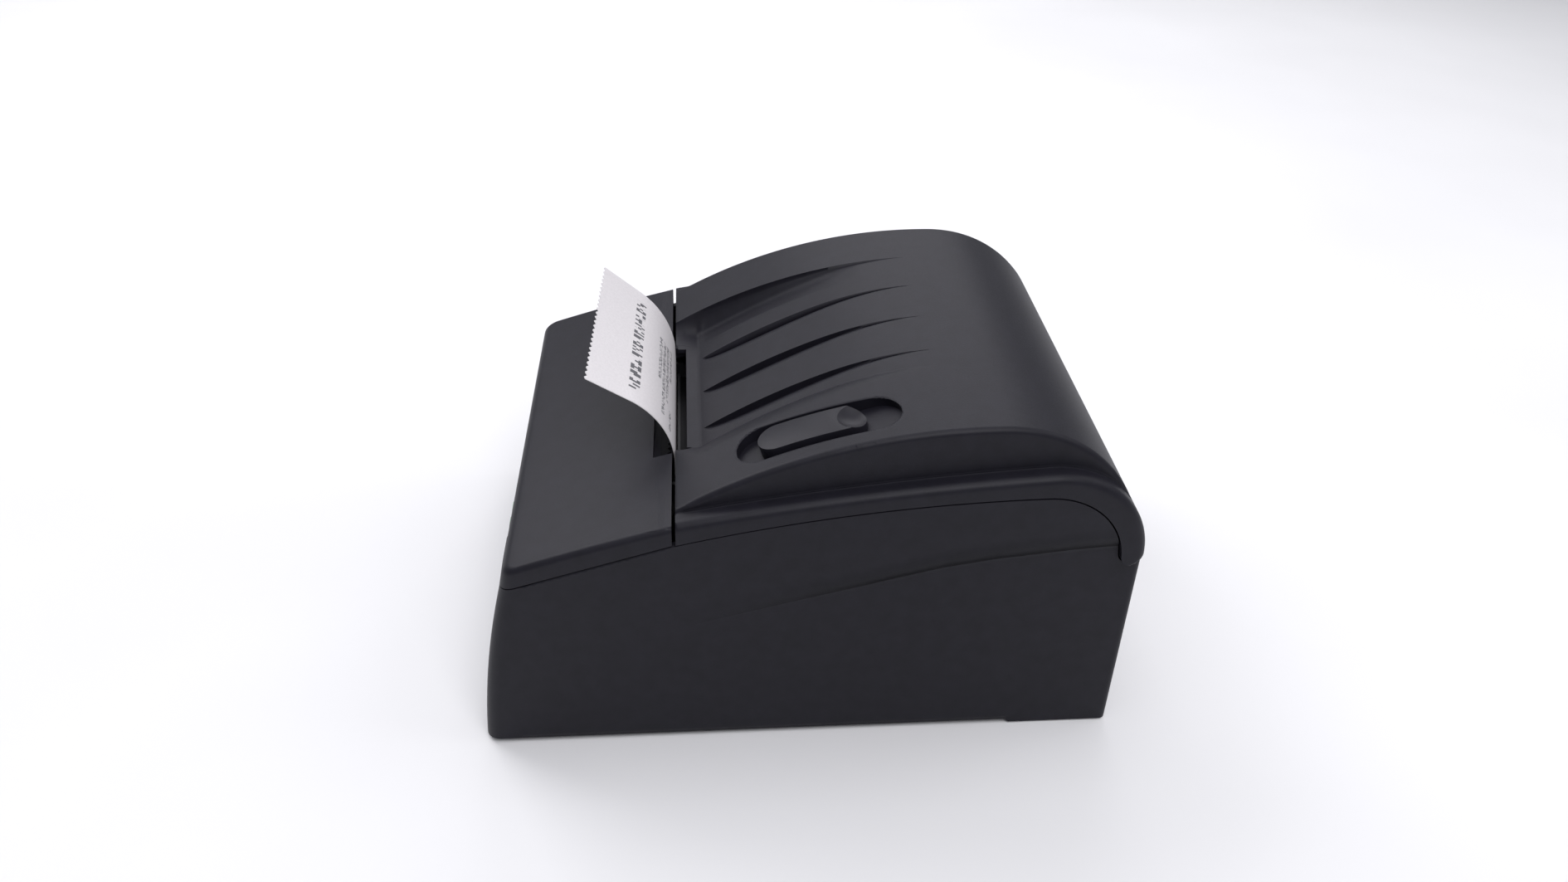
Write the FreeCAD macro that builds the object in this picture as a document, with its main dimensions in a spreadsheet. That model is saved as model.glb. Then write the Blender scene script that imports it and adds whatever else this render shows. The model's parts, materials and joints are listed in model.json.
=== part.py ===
import FreeCAD, Part
import math
import os
import Sketcher

V = FreeCAD.Vector
TOUCH = 0.001
NEAR = 0.1
doc = FreeCAD.newDocument("receipt_printer")
sheet = doc.addObject("Spreadsheet::Sheet", "Dims")


class Size:
    """A length with its number and the sheet expression that it comes from."""

    def __init__(self, value, text):
        self.value = value
        self.text = text

    def _join(self, sign, other, value):
        return Size(value, "(%s %s %s)" % (self.text, sign, as_size(other).text))

    def __add__(self, other):
        return self._join("+", other, self.value + as_size(other).value)

    def __sub__(self, other):
        return self._join("-", other, self.value - as_size(other).value)

    def __mul__(self, other):
        return self._join("*", other, self.value * as_size(other).value)

    def __truediv__(self, other):
        return self._join("/", other, self.value / as_size(other).value)

    def __radd__(self, other):
        return as_size(other) + self

    def __rsub__(self, other):
        return as_size(other) - self

    def __rmul__(self, other):
        return as_size(other) * self

    def __neg__(self):
        return Size(-self.value, "(0 - %s)" % self.text)

    def __float__(self):
        return float(self.value)


def as_size(number):
    """A plain number as a size."""
    if isinstance(number, Size):
        return number
    return Size(float(number), repr(float(number)))


row_count = 0


def cell(alias, number):
    """Writes one driving dimension to the sheet and returns it as a size."""
    global row_count
    row_count += 1
    sheet.set("A%d" % row_count, alias.replace("_", " "))
    sheet.set("B%d" % row_count, repr(number))
    sheet.setAlias("B%d" % row_count, alias)
    return Size(float(number), "Dims." + alias)


# Driving dimensions in millimetres: the casing
body_width = cell("body_width", 140.0)
body_depth = cell("body_depth", 185.0)
wall = cell("wall", 2.5)
seam_gap = cell("seam_gap", 0.4)
run_gap = cell("run_gap", 0.3)
bore_gap = cell("bore_gap", 0.05)
rim_lift = cell("rim_lift", 1.6)
pad_lift = cell("pad_lift", 0.4)
pad_length = cell("pad_length", 32.0)
front_lean = cell("front_lean", 8.8)
front_radius = cell("front_radius", 284.0)
corner_radius = cell("corner_radius", 4.0)
rear_corner_radius = cell("rear_corner_radius", 2.0)

# The front cover and the break line between it and the lid
cover_length = cell("cover_length", 55.3)
cover_gap = cell("cover_gap", 1.0)
cover_seam_height = cell("cover_seam_height", 56.0)
cover_front_rise = cell("cover_front_rise", 6.6)
cover_rear_rise = cell("cover_rear_rise", 6.1)
cover_crown_radius = cell("cover_crown_radius", 650.0)
cover_lean = cell("cover_lean", 1.3)
cover_edge_radius = cell("cover_edge_radius", 1.6)
notch_length = cell("notch_length", 5.3)
notch_depth = cell("notch_depth", 5.0)
notch_margin = cell("notch_margin", 2.5)

# The seam under the lid, the shoulder and the arch
seam_break_height = cell("seam_break_height", 70.2)
seam_peak_height = cell("seam_peak_height", 83.3)
seam_peak_setback = cell("seam_peak_setback", 31.0)
seam_radius = cell("seam_radius", 465.0)
seam_rear_radius = cell("seam_rear_radius", 22.5)
shoulder_front_rise = cell("shoulder_front_rise", 6.8)
shoulder_peak_rise = cell("shoulder_peak_rise", 6.9)
shoulder_peak_setback = cell("shoulder_peak_setback", 28.0)
shoulder_radius = cell("shoulder_radius", 810.0)
shoulder_ledge = cell("shoulder_ledge", 5.7)
arch_front_rise = cell("arch_front_rise", 0.7)
arch_peak_rise = cell("arch_peak_rise", 11.8)
arch_peak_setback = cell("arch_peak_setback", 43.0)
arch_rear_radius = cell("arch_rear_radius", 42.0)
arch_edge_radius = cell("arch_edge_radius", 1.5)
arch_sink = cell("arch_sink", 2.0)

# The recessed centre panel and its grooves
slot_width = cell("slot_width", 59.5)
lip_setback = cell("lip_setback", 3.2)
lip_length = cell("lip_length", 3.8)
lip_drop = cell("lip_drop", 2.1)
panel_end_setback = cell("panel_end_setback", 26.0)
panel_radius = cell("panel_radius", 204.0)
panel_flare = cell("panel_flare", 10.8)
panel_step = cell("panel_step", 0.15)
groove_pitch = cell("groove_pitch", 20.5)
groove_depth = cell("groove_depth", 2.6)
groove_spread = cell("groove_spread", 5.0)
groove_run = cell("groove_run", 69.0)
groove_end = cell("groove_end", 0.004)
groove_least = cell("groove_least", 0.02)
groove_rise = cell("groove_rise", 1.0)

# The release button, its recess and the latch
button_inset = cell("button_inset", 20.0)
button_setback = cell("button_setback", 36.3)
button_length = cell("button_length", 29.8)
button_width = cell("button_width", 11.2)
button_proud = cell("button_proud", 0.4)
recess_length = cell("recess_length", 46.0)
recess_width = cell("recess_width", 15.6)
recess_depth = cell("recess_depth", 4.2)
recess_shift = cell("recess_shift", 1.7)
scoop_radius = cell("scoop_radius", 9.0)
scoop_depth = cell("scoop_depth", 2.4)
release_travel = cell("release_travel", 5.0)
stem_width = cell("stem_width", 4.0)
stem_length = cell("stem_length", 8.0)
latch_thickness = cell("latch_thickness", 2.0)
latch_width = cell("latch_width", 9.0)
latch_catch = cell("latch_catch", 2.5)
latch_rise = cell("latch_rise", 6.0)
latch_setback = cell("latch_setback", 10.2)

# The hinge
barrel_radius = cell("barrel_radius", 3.6)
hinge_height = cell("hinge_height", 63.4)
hinge_pin_radius = cell("hinge_pin_radius", 1.2)
hinge_pin_length = cell("hinge_pin_length", 26.0)
knuckle_offset = cell("knuckle_offset", 48.0)
knuckle_width = cell("knuckle_width", 12.0)

# The bottom plate, the feet and the deck
plate_thickness = cell("plate_thickness", 1.5)
ledge_width = cell("ledge_width", 8.0)
ledge_thickness = cell("ledge_thickness", 2.0)
foot_radius = cell("foot_radius", 6.0)
foot_inset_across = cell("foot_inset_across", 14.0)
foot_inset_along = cell("foot_inset_along", 16.5)
screw_radius = cell("screw_radius", 1.5)
screw_head_radius = cell("screw_head_radius", 2.8)
screw_head_height = cell("screw_head_height", 1.6)
screw_recess = cell("screw_recess", 0.96)
deck_height = cell("deck_height", 60.0)
deck_thickness = cell("deck_thickness", 2.0)
bin_centre_setback = cell("bin_centre_setback", 61.0)
bin_centre_height = cell("bin_centre_height", 50.0)
bin_radius = cell("bin_radius", 30.5)
bin_side_gap = cell("bin_side_gap", 1.75)
bin_wall = cell("bin_wall", 1.6)
chute_drop = cell("chute_drop", 2.0)
sensor_height = cell("sensor_height", 4.0)
sensor_length = cell("sensor_length", 8.0)
web_turn_height = cell("web_turn_height", 53.1)
web_turn_radius = cell("web_turn_radius", 4.35)

# The paper
paper_width = cell("paper_width", 64.0)
paper_thickness = cell("paper_thickness", 0.2)
roll_radius = cell("roll_radius", 25.0)
core_radius = cell("core_radius", 8.0)
core_bore_radius = cell("core_bore_radius", 6.0)
exit_height = cell("exit_height", 71.0)
curl_radius = cell("curl_radius", 26.5)
curl_angle = cell("curl_angle", 53.0)
tip_length = cell("tip_length", 14.0)
tear_pitch = cell("tear_pitch", 2.5)
tear_bar_thickness = cell("tear_bar_thickness", 1.0)
tear_bar_width = cell("tear_bar_width", 3.2)
tear_depth = cell("tear_depth", 1.1)

# The platen, the gear train and the motor
nip_height = cell("nip_height", 58.0)
platen_radius = cell("platen_radius", 5.5)
shaft_radius = cell("shaft_radius", 2.5)
nip_gap = cell("nip_gap", 0.1)
cheek_inside = cell("cheek_inside", 34.0)
cheek_thickness = cell("cheek_thickness", 1.5)
bush_radius = cell("bush_radius", 4.0)
bush_flange_radius = cell("bush_flange_radius", 5.2)
bush_flange = cell("bush_flange", 0.8)
gear_module = cell("gear_module", 0.5)
gear_width = cell("gear_width", 3.0)
gear_backlash = cell("gear_backlash", 0.12)
gear_root_depth = cell("gear_root_depth", 0.6)
pressure_angle = cell("pressure_angle", 20.0)
platen_teeth = cell("platen_teeth", 28)
idler_teeth = cell("idler_teeth", 40)
pinion_teeth = cell("pinion_teeth", 17)
idler_angle = cell("idler_angle", 234.0)
pinion_angle = cell("pinion_angle", 250.0)
idler_pin_radius = cell("idler_pin_radius", 1.5)
motor_radius = cell("motor_radius", 10.0)
motor_length = cell("motor_length", 15.0)
motor_shaft_radius = cell("motor_shaft_radius", 1.0)
motor_shaft_depth = cell("motor_shaft_depth", 10.5)
motor_bore_depth = cell("motor_bore_depth", 12.0)

# The print head
head_height = cell("head_height", 13.0)
head_above_nip = cell("head_above_nip", 5.46)
head_thickness = cell("head_thickness", 0.8)
head_clearance = cell("head_clearance", 0.45)
head_lean = cell("head_lean", 1.2)
heatsink_thickness = cell("heatsink_thickness", 4.2)
head_pivot_setback = cell("head_pivot_setback", 9.4)
head_pivot_height = cell("head_pivot_height", 66.2)
head_pin_radius = cell("head_pin_radius", 1.2)
head_arm_width = cell("head_arm_width", 5.4)
lug_thickness = cell("lug_thickness", 2.6)
spring_length = cell("spring_length", 4.6)
spring_radius = cell("spring_radius", 2.2)
wire_radius = cell("wire_radius", 0.3)
spring_turns = cell("spring_turns", 3.5)
spring_setback = cell("spring_setback", 5.1)

# The boards, the sockets and the switch on the rear wall
niche_width = cell("niche_width", 112.0)
niche_height = cell("niche_height", 32.0)
niche_floor = cell("niche_floor", 7.0)
niche_depth = cell("niche_depth", 4.0)
board_lift = cell("board_lift", 4.6)
board_thickness = cell("board_thickness", 1.6)
board_width = cell("board_width", 104.0)
board_length = cell("board_length", 78.0)
standoff_radius = cell("standoff_radius", 3.0)
socket_gap = cell("socket_gap", 0.3)
jack_offset = cell("jack_offset", 40.0)
jack_width = cell("jack_width", 9.0)
jack_height = cell("jack_height", 11.0)
jack_bore_radius = cell("jack_bore_radius", 3.2)
jack_pin_radius = cell("jack_pin_radius", 1.0)
data_offset = cell("data_offset", 22.0)
data_width = cell("data_width", 12.0)
data_height = cell("data_height", 11.0)
drawer_offset = cell("drawer_offset", -2.0)
drawer_width = cell("drawer_width", 13.2)
drawer_height = cell("drawer_height", 12.5)
socket_length = cell("socket_length", 15.0)
socket_depth = cell("socket_depth", 9.0)
drawer_depth = cell("drawer_depth", 10.5)
drawer_shelf = cell("drawer_shelf", 3.5)
port_tongue = cell("port_tongue", 2.4)
port_rim = cell("port_rim", 1.4)
switch_offset = cell("switch_offset", -40.0)
switch_width = cell("switch_width", 13.0)
switch_height = cell("switch_height", 19.0)
switch_centre_height = cell("switch_centre_height", 24.0)
switch_flange = cell("switch_flange", 1.2)
switch_flange_thickness = cell("switch_flange_thickness", 1.6)
switch_depth = cell("switch_depth", 14.0)
switch_pocket = cell("switch_pocket", 9.8)
rocker_margin = cell("rocker_margin", 2.64)
rocker_rise = cell("rocker_rise", 3.2)
rocker_tilt = cell("rocker_tilt", 9.0)
axle_radius = cell("axle_radius", 1.0)

# The feed button and the status lenses on the front wall
panel_height = cell("panel_height", 40.0)
feed_offset = cell("feed_offset", 34.0)
feed_width = cell("feed_width", 15.0)
feed_height = cell("feed_height", 8.0)
feed_proud = cell("feed_proud", 0.25)
feed_travel = cell("feed_travel", 1.0)
lens_radius = cell("lens_radius", 1.6)
lens_pitch = cell("lens_pitch", 8.0)
lens_offset = cell("lens_offset", 17.0)
panel_board_gap = cell("panel_board_gap", 9.0)
panel_board_thickness = cell("panel_board_thickness", 1.2)
panel_board_width = cell("panel_board_width", 52.0)
panel_board_height = cell("panel_board_height", 14.0)
feed_collar = cell("feed_collar", 1.5)
doc.recompute()

# Places worked out from the driving dimensions
half_width = body_width / 2
front_y = -(body_depth / 2)
rear_y = body_depth / 2
break_y = front_y + cover_length
cover_rear_y = break_y - cover_gap / 2
lid_front_y = break_y + cover_gap / 2
seam_front_y = front_y + front_lean
hinge_y = rear_y - barrel_radius
rear_wall_top = hinge_height - barrel_radius - seam_gap
arch_half = half_width - shoulder_ledge
seam_peak_y = rear_y - seam_peak_setback
shoulder_peak_y = rear_y - shoulder_peak_setback
arch_peak_y = rear_y - arch_peak_setback
lip_front_y = lid_front_y + lip_setback
lip_rear_y = lip_front_y + lip_length
slot_half = slot_width / 2
bin_width = paper_width + bin_side_gap * 2
cover_front_height = cover_seam_height + cover_front_rise
cover_rear_height = seam_break_height + cover_rear_rise
shoulder_front_height = seam_break_height + shoulder_front_rise
shoulder_peak_height = seam_peak_height + shoulder_peak_rise
arch_front_height = shoulder_front_height + arch_front_rise
arch_peak_height = shoulder_peak_height + arch_peak_rise
lip_height = shoulder_front_height - lip_drop
button_offset = half_width - button_inset
foot_offset_across = half_width - foot_inset_across
foot_offset_along = rear_y - foot_inset_along
motor_ear_pitch = (motor_radius + screw_head_radius + run_gap) * 2


def level_radius(run, rise):
    """The radius of an arc that rises over a run and ends level."""
    return (run * run + rise * rise) / (rise * 2)


arch_radius = level_radius(arch_peak_y - lid_front_y, arch_peak_height - arch_front_height)
shoulder_rear_radius = level_radius(shoulder_peak_setback, shoulder_peak_height - hinge_height)
plate_top = rim_lift + plate_thickness
inside_half = half_width - wall


class Edge:
    """One corner of an outline, with the radius of the edge that leaves it."""

    def __init__(self, along, up, radius=None, side=1):
        self.along = as_size(along)
        self.up = as_size(up)
        self.radius = radius
        self.side = side

    def point(self):
        return V(self.along.value, self.up.value, 0)


def arc_between(start, end, radius, side):
    """The short arc of a radius between two points; side 1 bulges to the right of the way."""
    chord = end - start
    middle = (start + end) * 0.5
    right = V(chord.y, -chord.x, 0)
    right.normalize()
    rise = radius - math.sqrt(radius ** 2 - (chord.Length / 2) ** 2)
    return Part.Arc(start, middle + right * (rise * side), end)


def constrain(sketch, kind, size, *where):
    """Adds a dimension to a sketch and binds it to its sheet expression."""
    index = sketch.addConstraint(Sketcher.Constraint(kind, *where, size.value))
    sketch.setExpression("Constraints[%d]" % index, size.text)


def draw(sketch, edges):
    """Draws a closed outline of lines and arcs whose corners follow the sheet."""
    drawn = []
    for edge, following in zip(edges, edges[1:] + edges[:1]):
        start, end = edge.point(), following.point()
        if edge.radius is None:
            curve = Part.LineSegment(start, end)
        else:
            curve = arc_between(start, end, edge.radius.value, edge.side)
        index = sketch.addGeometry(curve)
        forward = sketch.getPoint(index, 1).distanceToPoint(start) < TOUCH
        drawn.append((index, 1 if forward else 2, 2 if forward else 1))
    for edge, one, other in zip(edges, drawn, drawn[1:] + drawn[:1]):
        sketch.addConstraint(Sketcher.Constraint("Coincident", one[0], one[2], other[0], other[1]))
        constrain(sketch, "DistanceX", edge.along, -1, 1, one[0], one[1])
        constrain(sketch, "DistanceY", edge.up, -1, 1, one[0], one[1])
        if edge.radius is not None:
            constrain(sketch, "Radius", edge.radius, one[0])


def prism(name, plane, edges, start, length):
    """A body padded from one outline on an origin plane, from start over a length."""
    body = doc.addObject("PartDesign::Body", name)
    sketch = body.newObject("Sketcher::SketchObject", name + "_outline")
    sketch.AttachmentSupport = [(origin_plane(body, plane), "")]
    sketch.MapMode = "FlatFace"
    sketch.setExpression("AttachmentOffset.Base.z", as_size(start).text)
    doc.recompute()
    draw(sketch, edges)
    pad = body.newObject("PartDesign::Pad", name + "_pad")
    pad.Profile = sketch
    pad.setExpression("Length", as_size(length).text)
    body.Tip = pad
    doc.recompute()
    return body


def origin_plane(body, role):
    """One of a body's own origin planes by its role."""
    return [feature for feature in body.Origin.OriginFeatures if feature.Role == role][0]


def across(name, edges, left, right):
    """A prism across the printer, from an outline in depth and height."""
    left = as_size(left)
    return prism(name, "YZ_Plane", edges, left, as_size(right) - left)


def centred(name, edges, half):
    """A prism across the printer, as wide on both sides of the middle."""
    return across(name, edges, -as_size(half), half)


def place(item, x, y, z):
    """Binds the place of an object to the sheet."""
    for axis, size in zip("xyz", (x, y, z)):
        item.setExpression("Placement.Base." + axis, as_size(size).text)
    return item


def box(name, x, y, z):
    """A block between two values on each axis."""
    item = doc.addObject("Part::Box", name)
    for side, (low, high) in zip(("Length", "Width", "Height"), (x, y, z)):
        item.setExpression(side, (as_size(high) - low).text)
    return place(item, x[0], y[0], z[0])


TURN = {
    "x": FreeCAD.Rotation(V(0, 1, 0), 90),
    "y": FreeCAD.Rotation(V(1, 0, 0), -90),
    "z": FreeCAD.Rotation(),
}


def rod(name, axis, start, length, radius):
    """A round bar along one axis, from the centre of its first end."""
    item = doc.addObject("Part::Cylinder", name)
    item.setExpression("Radius", as_size(radius).text)
    item.setExpression("Height", as_size(length).text)
    item.Placement = FreeCAD.Placement(V(0, 0, 0), TURN[axis])
    return place(item, *start)


def fused(name, *items):
    """Several solids joined to one."""
    item = doc.addObject("Part::MultiFuse", name)
    item.Shapes = list(items)
    item.Refine = True
    doc.recompute()
    return item


def group(name, *items):
    """Separate solids kept together as one sub-part."""
    item = doc.addObject("Part::Compound", name)
    item.Links = list(items)
    doc.recompute()
    return item


def cut(name, base, *tools):
    """A solid less one or more others, which together have to take something away."""
    tool = tools[0]
    if len(tools) > 1:
        tool = doc.addObject("Part::MultiFuse", name + "_tools")
        tool.Shapes = list(tools)
    item = doc.addObject("Part::Cut", name)
    item.Base = base
    item.Tool = tool
    item.Refine = True
    doc.recompute()
    if item.Shape.Volume > base.Shape.Volume - TOUCH:
        raise ValueError("nothing is taken from " + name)
    return item


def common(name, one, other):
    """What two solids share."""
    item = doc.addObject("Part::MultiCommon", name)
    item.Shapes = [one, other]
    doc.recompute()
    return item


def rounded(name, base, radius, chosen):
    """A solid with some of its edges rounded."""
    item = doc.addObject("Part::Fillet", name)
    item.Base = base
    edges = [(number + 1, radius.value, radius.value)
             for number, edge in enumerate(base.Shape.Edges) if chosen(edge)]
    item.Edges = edges
    doc.recompute()
    return item


def shaped(name, shape):
    """A sub-part whose shape comes straight from curves and surfaces."""
    item = doc.addObject("Part::Feature", name)
    item.Shape = shape
    return item


sub_parts = []


def keep(item):
    """Counts an object as one of the printer's sub-parts, under its own name."""
    item.Label = item.Name
    sub_parts.append(item)
    return item


def turned(item, lean, x, y, z):
    """Leans an object about the axis across the printer and binds its place."""
    item.Placement = FreeCAD.Placement(V(0, 0, 0), FreeCAD.Rotation(V(1, 0, 0), lean))
    return place(item, x, y, z)


def at_side(edge, half):
    """True for an edge that lies in one of the two side planes."""
    return edge.BoundBox.XLength < TOUCH and abs(abs(edge.Vertexes[0].Point.x) - half.value) < TOUCH


def oval(width, length):
    """An outline with round ends, its ends on the longer way."""
    a, b = as_size(width) / 2, as_size(length) / 2
    if a.value < b.value:
        return [Edge(a, a - b), Edge(a, b - a, a), Edge(0, b, a), Edge(-a, b - a), Edge(-a, a - b, a),
                Edge(0, -b, a)]
    return [Edge(b - a, -b), Edge(a - b, -b, b), Edge(a, 0, b), Edge(a - b, b), Edge(b - a, b, b),
            Edge(-a, 0, b)]


# The arch's centre, and the frame of the release button on its slope
def circle_centre(start, end, radius):
    """The centre under an arc that bulges upwards from start to end."""
    chord = end - start
    middle = (start + end) * 0.5
    down = V(chord.y, -chord.x, 0)
    down.normalize()
    return middle + down * math.sqrt(radius ** 2 - (chord.Length / 2) ** 2)


arch_centre = circle_centre(
    V(lid_front_y.value, arch_front_height.value, 0),
    V(arch_peak_y.value, arch_peak_height.value, 0),
    arch_radius.value)
button_y = lid_front_y + button_setback
button_run = arch_centre.x - button_y.value
button_z = arch_centre.y + math.sqrt(arch_radius.value ** 2 - button_run ** 2)
button_slope = math.degrees(math.asin(button_run / arch_radius.value))
slope_along = math.cos(math.radians(button_slope))
slope_up = math.sin(math.radians(button_slope))


def on_slope(item, along=0.0, above=0.0, sideways=0.0):
    """Sets an object on the arch's slope, counted from the middle of the release button."""
    along, above = as_size(along), as_size(above)
    return turned(
        item, button_slope, button_offset + sideways,
        button_y + along * slope_along - above * slope_up,
        button_z + along * slope_up + above * slope_along)


def slope_box(name, x, y, z):
    """A block in the frame of the release button's slope."""
    item = doc.addObject("Part::Box", name)
    for side, (low, high) in zip(("Length", "Width", "Height"), (x, y, z)):
        item.setExpression(side, (as_size(high) - low).text)
    return on_slope(item, y[0], z[0], x[0])


# Base housing: a tub with a leaning front, a stepped foot at the rear and a rim that follows the seam
base_outline = [
    Edge(front_y, rim_lift),
    Edge(rear_y - pad_length, rim_lift),
    Edge(rear_y - pad_length + (rim_lift - pad_lift), pad_lift),
    Edge(rear_y - pad_lift, pad_lift),
    Edge(rear_y, rear_wall_top),
    Edge(hinge_y, rear_wall_top, barrel_radius + seam_gap, -1),
    Edge(hinge_y - barrel_radius - seam_gap, hinge_height, seam_rear_radius),
    Edge(seam_peak_y, seam_peak_height, seam_radius),
    Edge(break_y, seam_break_height),
    Edge(seam_front_y, cover_seam_height, front_radius),
]
base_blank = centred("base_blank", base_outline, half_width)


def front_corner(edge):
    """True for the two upright edges of the leaning front."""
    upright = edge.BoundBox.ZLength > corner_radius.value
    return at_side(edge, half_width) and upright and edge.BoundBox.YMax < seam_front_y.value + NEAR


def rear_corner(edge):
    """True for the two upright edges of the rear wall."""
    upright = edge.BoundBox.ZLength > corner_radius.value
    return at_side(edge, half_width) and upright and edge.BoundBox.YMin > hinge_y.value + NEAR


base_front_round = rounded("base_front_round", base_blank, corner_radius, front_corner)
base_round = rounded("base_round", base_front_round, rear_corner_radius, rear_corner)
tall = arch_peak_height + wall
base_cavity = centred("base_cavity", [
    Edge(front_y + wall, -wall),
    Edge(rear_y - wall, -wall),
    Edge(rear_y - wall, tall),
    Edge(seam_front_y + wall, tall),
    Edge(seam_front_y + wall, cover_seam_height, front_radius),
    Edge(front_y + wall, rim_lift),
], inside_half)


def beside(side, near, far):
    """A span on the right side of the printer, or mirrored on the left."""
    near, far = as_size(near), as_size(far)
    return (near, far) if side > 0 else (-far, -near)


SIDES = {"right": 1, "left": -1}
board_top = plate_top + board_lift + board_thickness
niche_y = rear_y - niche_depth
deck_top = deck_height + deck_thickness
paper_y = break_y + run_gap
platen_y = paper_y - paper_thickness / 2 - nip_gap - platen_radius

# The frame of the feed panel on the leaning front
front_centre = circle_centre(
    V(front_y.value, rim_lift.value, 0), V(seam_front_y.value, cover_seam_height.value,
                                           0), front_radius.value)
panel_up = panel_height.value - front_centre.y
panel_y = front_centre.x - math.sqrt(front_radius.value ** 2 - panel_up ** 2)
panel_lean = math.degrees(math.asin(panel_up / front_radius.value))
panel_middle = (feed_offset + lens_offset) / 2
panel_boss = panel_board_width / 2 - screw_head_radius - run_gap


def through_panel(name, edges, outward, inward, sideways):
    """A prism square to the leaning front, from outside it to a depth inside it."""
    inward = as_size(inward)
    item = prism(name, "XZ_Plane", edges, -inward, inward + outward)
    return turned(item, -panel_lean, sideways, panel_y, panel_height)


# Sockets on the rear wall: offset, width and height of each
SOCKETS = {
    "power_jack": (jack_offset, jack_width, jack_height),
    "data_port": (data_offset, data_width, data_height),
    "drawer_port": (drawer_offset, drawer_width, drawer_height),
}
DECK_SCREWS = [(side * (inside_half - ledge_width / 2), y)
               for side in SIDES.values() for y in (lip_rear_y + ledge_width, hinge_y - ledge_width * 2)]
BOTTOM_SCREWS = [(side * (inside_half - ledge_width / 2), end * (foot_offset_along - foot_radius * 2))
                 for side in SIDES.values() for end in SIDES.values()]

# Ledges, the socket niche, the bosses and the hinge knuckles of the base
base_adds = []
for label, side in SIDES.items():
    reach = beside(side, inside_half - ledge_width, half_width - wall / 2)
    base_adds.append(box("deck_ledge_" + label, reach, (lip_rear_y, hinge_y - ledge_width),
                         (deck_height - ledge_thickness, deck_height)))
    base_adds.append(box("bottom_ledge_" + label, reach, (front_y + corner_radius + wall, rear_y - wall),
                         (plate_top, plate_top + ledge_thickness)))
    middle = knuckle_offset - knuckle_width / 2
    reach = beside(side, middle, middle + knuckle_width)
    base_adds.append(rod("knuckle_" + label, "x", (reach[0], hinge_y, hinge_height), knuckle_width,
                         barrel_radius))
    base_adds.append(box("knuckle_web_" + label, reach, (hinge_y - barrel_radius, rear_y),
                         (rear_wall_top - barrel_radius, hinge_height)))
    boss = rod("panel_boss_" + label, "y", (0, 0, 0), panel_board_gap - wall / 2, screw_head_radius)
    base_adds.append(turned(boss, -panel_lean - 90, panel_middle + side * panel_boss,
                            panel_y + (wall / 2) * math.cos(math.radians(panel_lean)),
                            panel_height - (wall / 2) * math.sin(math.radians(panel_lean))))
base_adds.append(box("niche_backing", (-(niche_width / 2) - wall, niche_width / 2 + wall),
                     (niche_y - wall, rear_y - wall / 2), (niche_floor - wall,
                                                           niche_floor + niche_height + wall)))
tub = cut("tub", base_round, base_cavity)
tub_full = fused("tub_full", tub, *base_adds)

base_cuts = [box("niche", (-(niche_width / 2), niche_width / 2), (niche_y, rear_y + wall),
                 (niche_floor, niche_floor + niche_height))]
for label, (offset, width, height) in SOCKETS.items():
    base_cuts.append(box(label + "_hole", (offset - width / 2 - socket_gap, offset + width / 2 + socket_gap),
                         (niche_y - wall * 2, niche_y + wall), (board_top - socket_gap,
                                                                board_top + height + socket_gap)))
switch_x = (switch_offset - switch_width / 2, switch_offset + switch_width / 2)
switch_z = (switch_centre_height - switch_height / 2, switch_centre_height + switch_height / 2)
base_cuts.append(box("switch_hole", switch_x, (niche_y - wall * 2, niche_y + wall), switch_z))
base_cuts.append(through_panel("feed_hole", oval(feed_width + run_gap * 2, feed_height + run_gap * 2),
                               wall * 2, wall * 1.5, feed_offset))
for number in (0, 1):
    hole = oval(lens_radius * 2 + bore_gap * 2, lens_radius * 2 + bore_gap * 2 + TOUCH)
    base_cuts.append(through_panel("lens_hole_%d" % number, hole, wall * 2, wall * 1.5,
                                   lens_offset - lens_pitch * number))
for number, (x, y) in enumerate(DECK_SCREWS):
    base_cuts.append(rod("ledge_hole_%d" % number, "z", (x, y, deck_height - ledge_thickness * 1.5),
                         ledge_thickness * 2, screw_radius))
for number, (x, y) in enumerate(BOTTOM_SCREWS):
    base_cuts.append(rod("bottom_hole_%d" % number, "z", (x, y, plate_top - ledge_thickness / 2),
                         ledge_thickness * 2, screw_radius))
for label, side in SIDES.items():
    pin_start = side * knuckle_offset - hinge_pin_length / 2
    base_cuts.append(rod("knuckle_bore_" + label, "x", (pin_start, hinge_y, hinge_height), hinge_pin_length,
                         hinge_pin_radius + bore_gap))
base_housing = keep(cut("base_housing", tub_full, *base_cuts))

# Front cover: a shell with a notch along its rear edge for the paper
cover_low = seam_break_height - wall * 4
cover_blank = centred("cover_blank", [
    Edge(seam_front_y, cover_seam_height + seam_gap),
    Edge(cover_rear_y, seam_break_height + seam_gap),
    Edge(cover_rear_y, cover_rear_height, cover_crown_radius),
    Edge(seam_front_y + cover_lean, cover_front_height),
], half_width)


def cover_corner(edge):
    """True for the two upright front edges of the cover."""
    return at_side(edge, half_width) and edge.BoundBox.YMax < seam_front_y.value + cover_lean.value + NEAR


def cover_crown(edge):
    """True for the edges round the cover's crown, on its front and sides."""
    bound = edge.BoundBox
    return bound.ZMin > cover_front_height.value - NEAR * 2 and bound.YMin < cover_rear_y.value - NEAR


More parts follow.
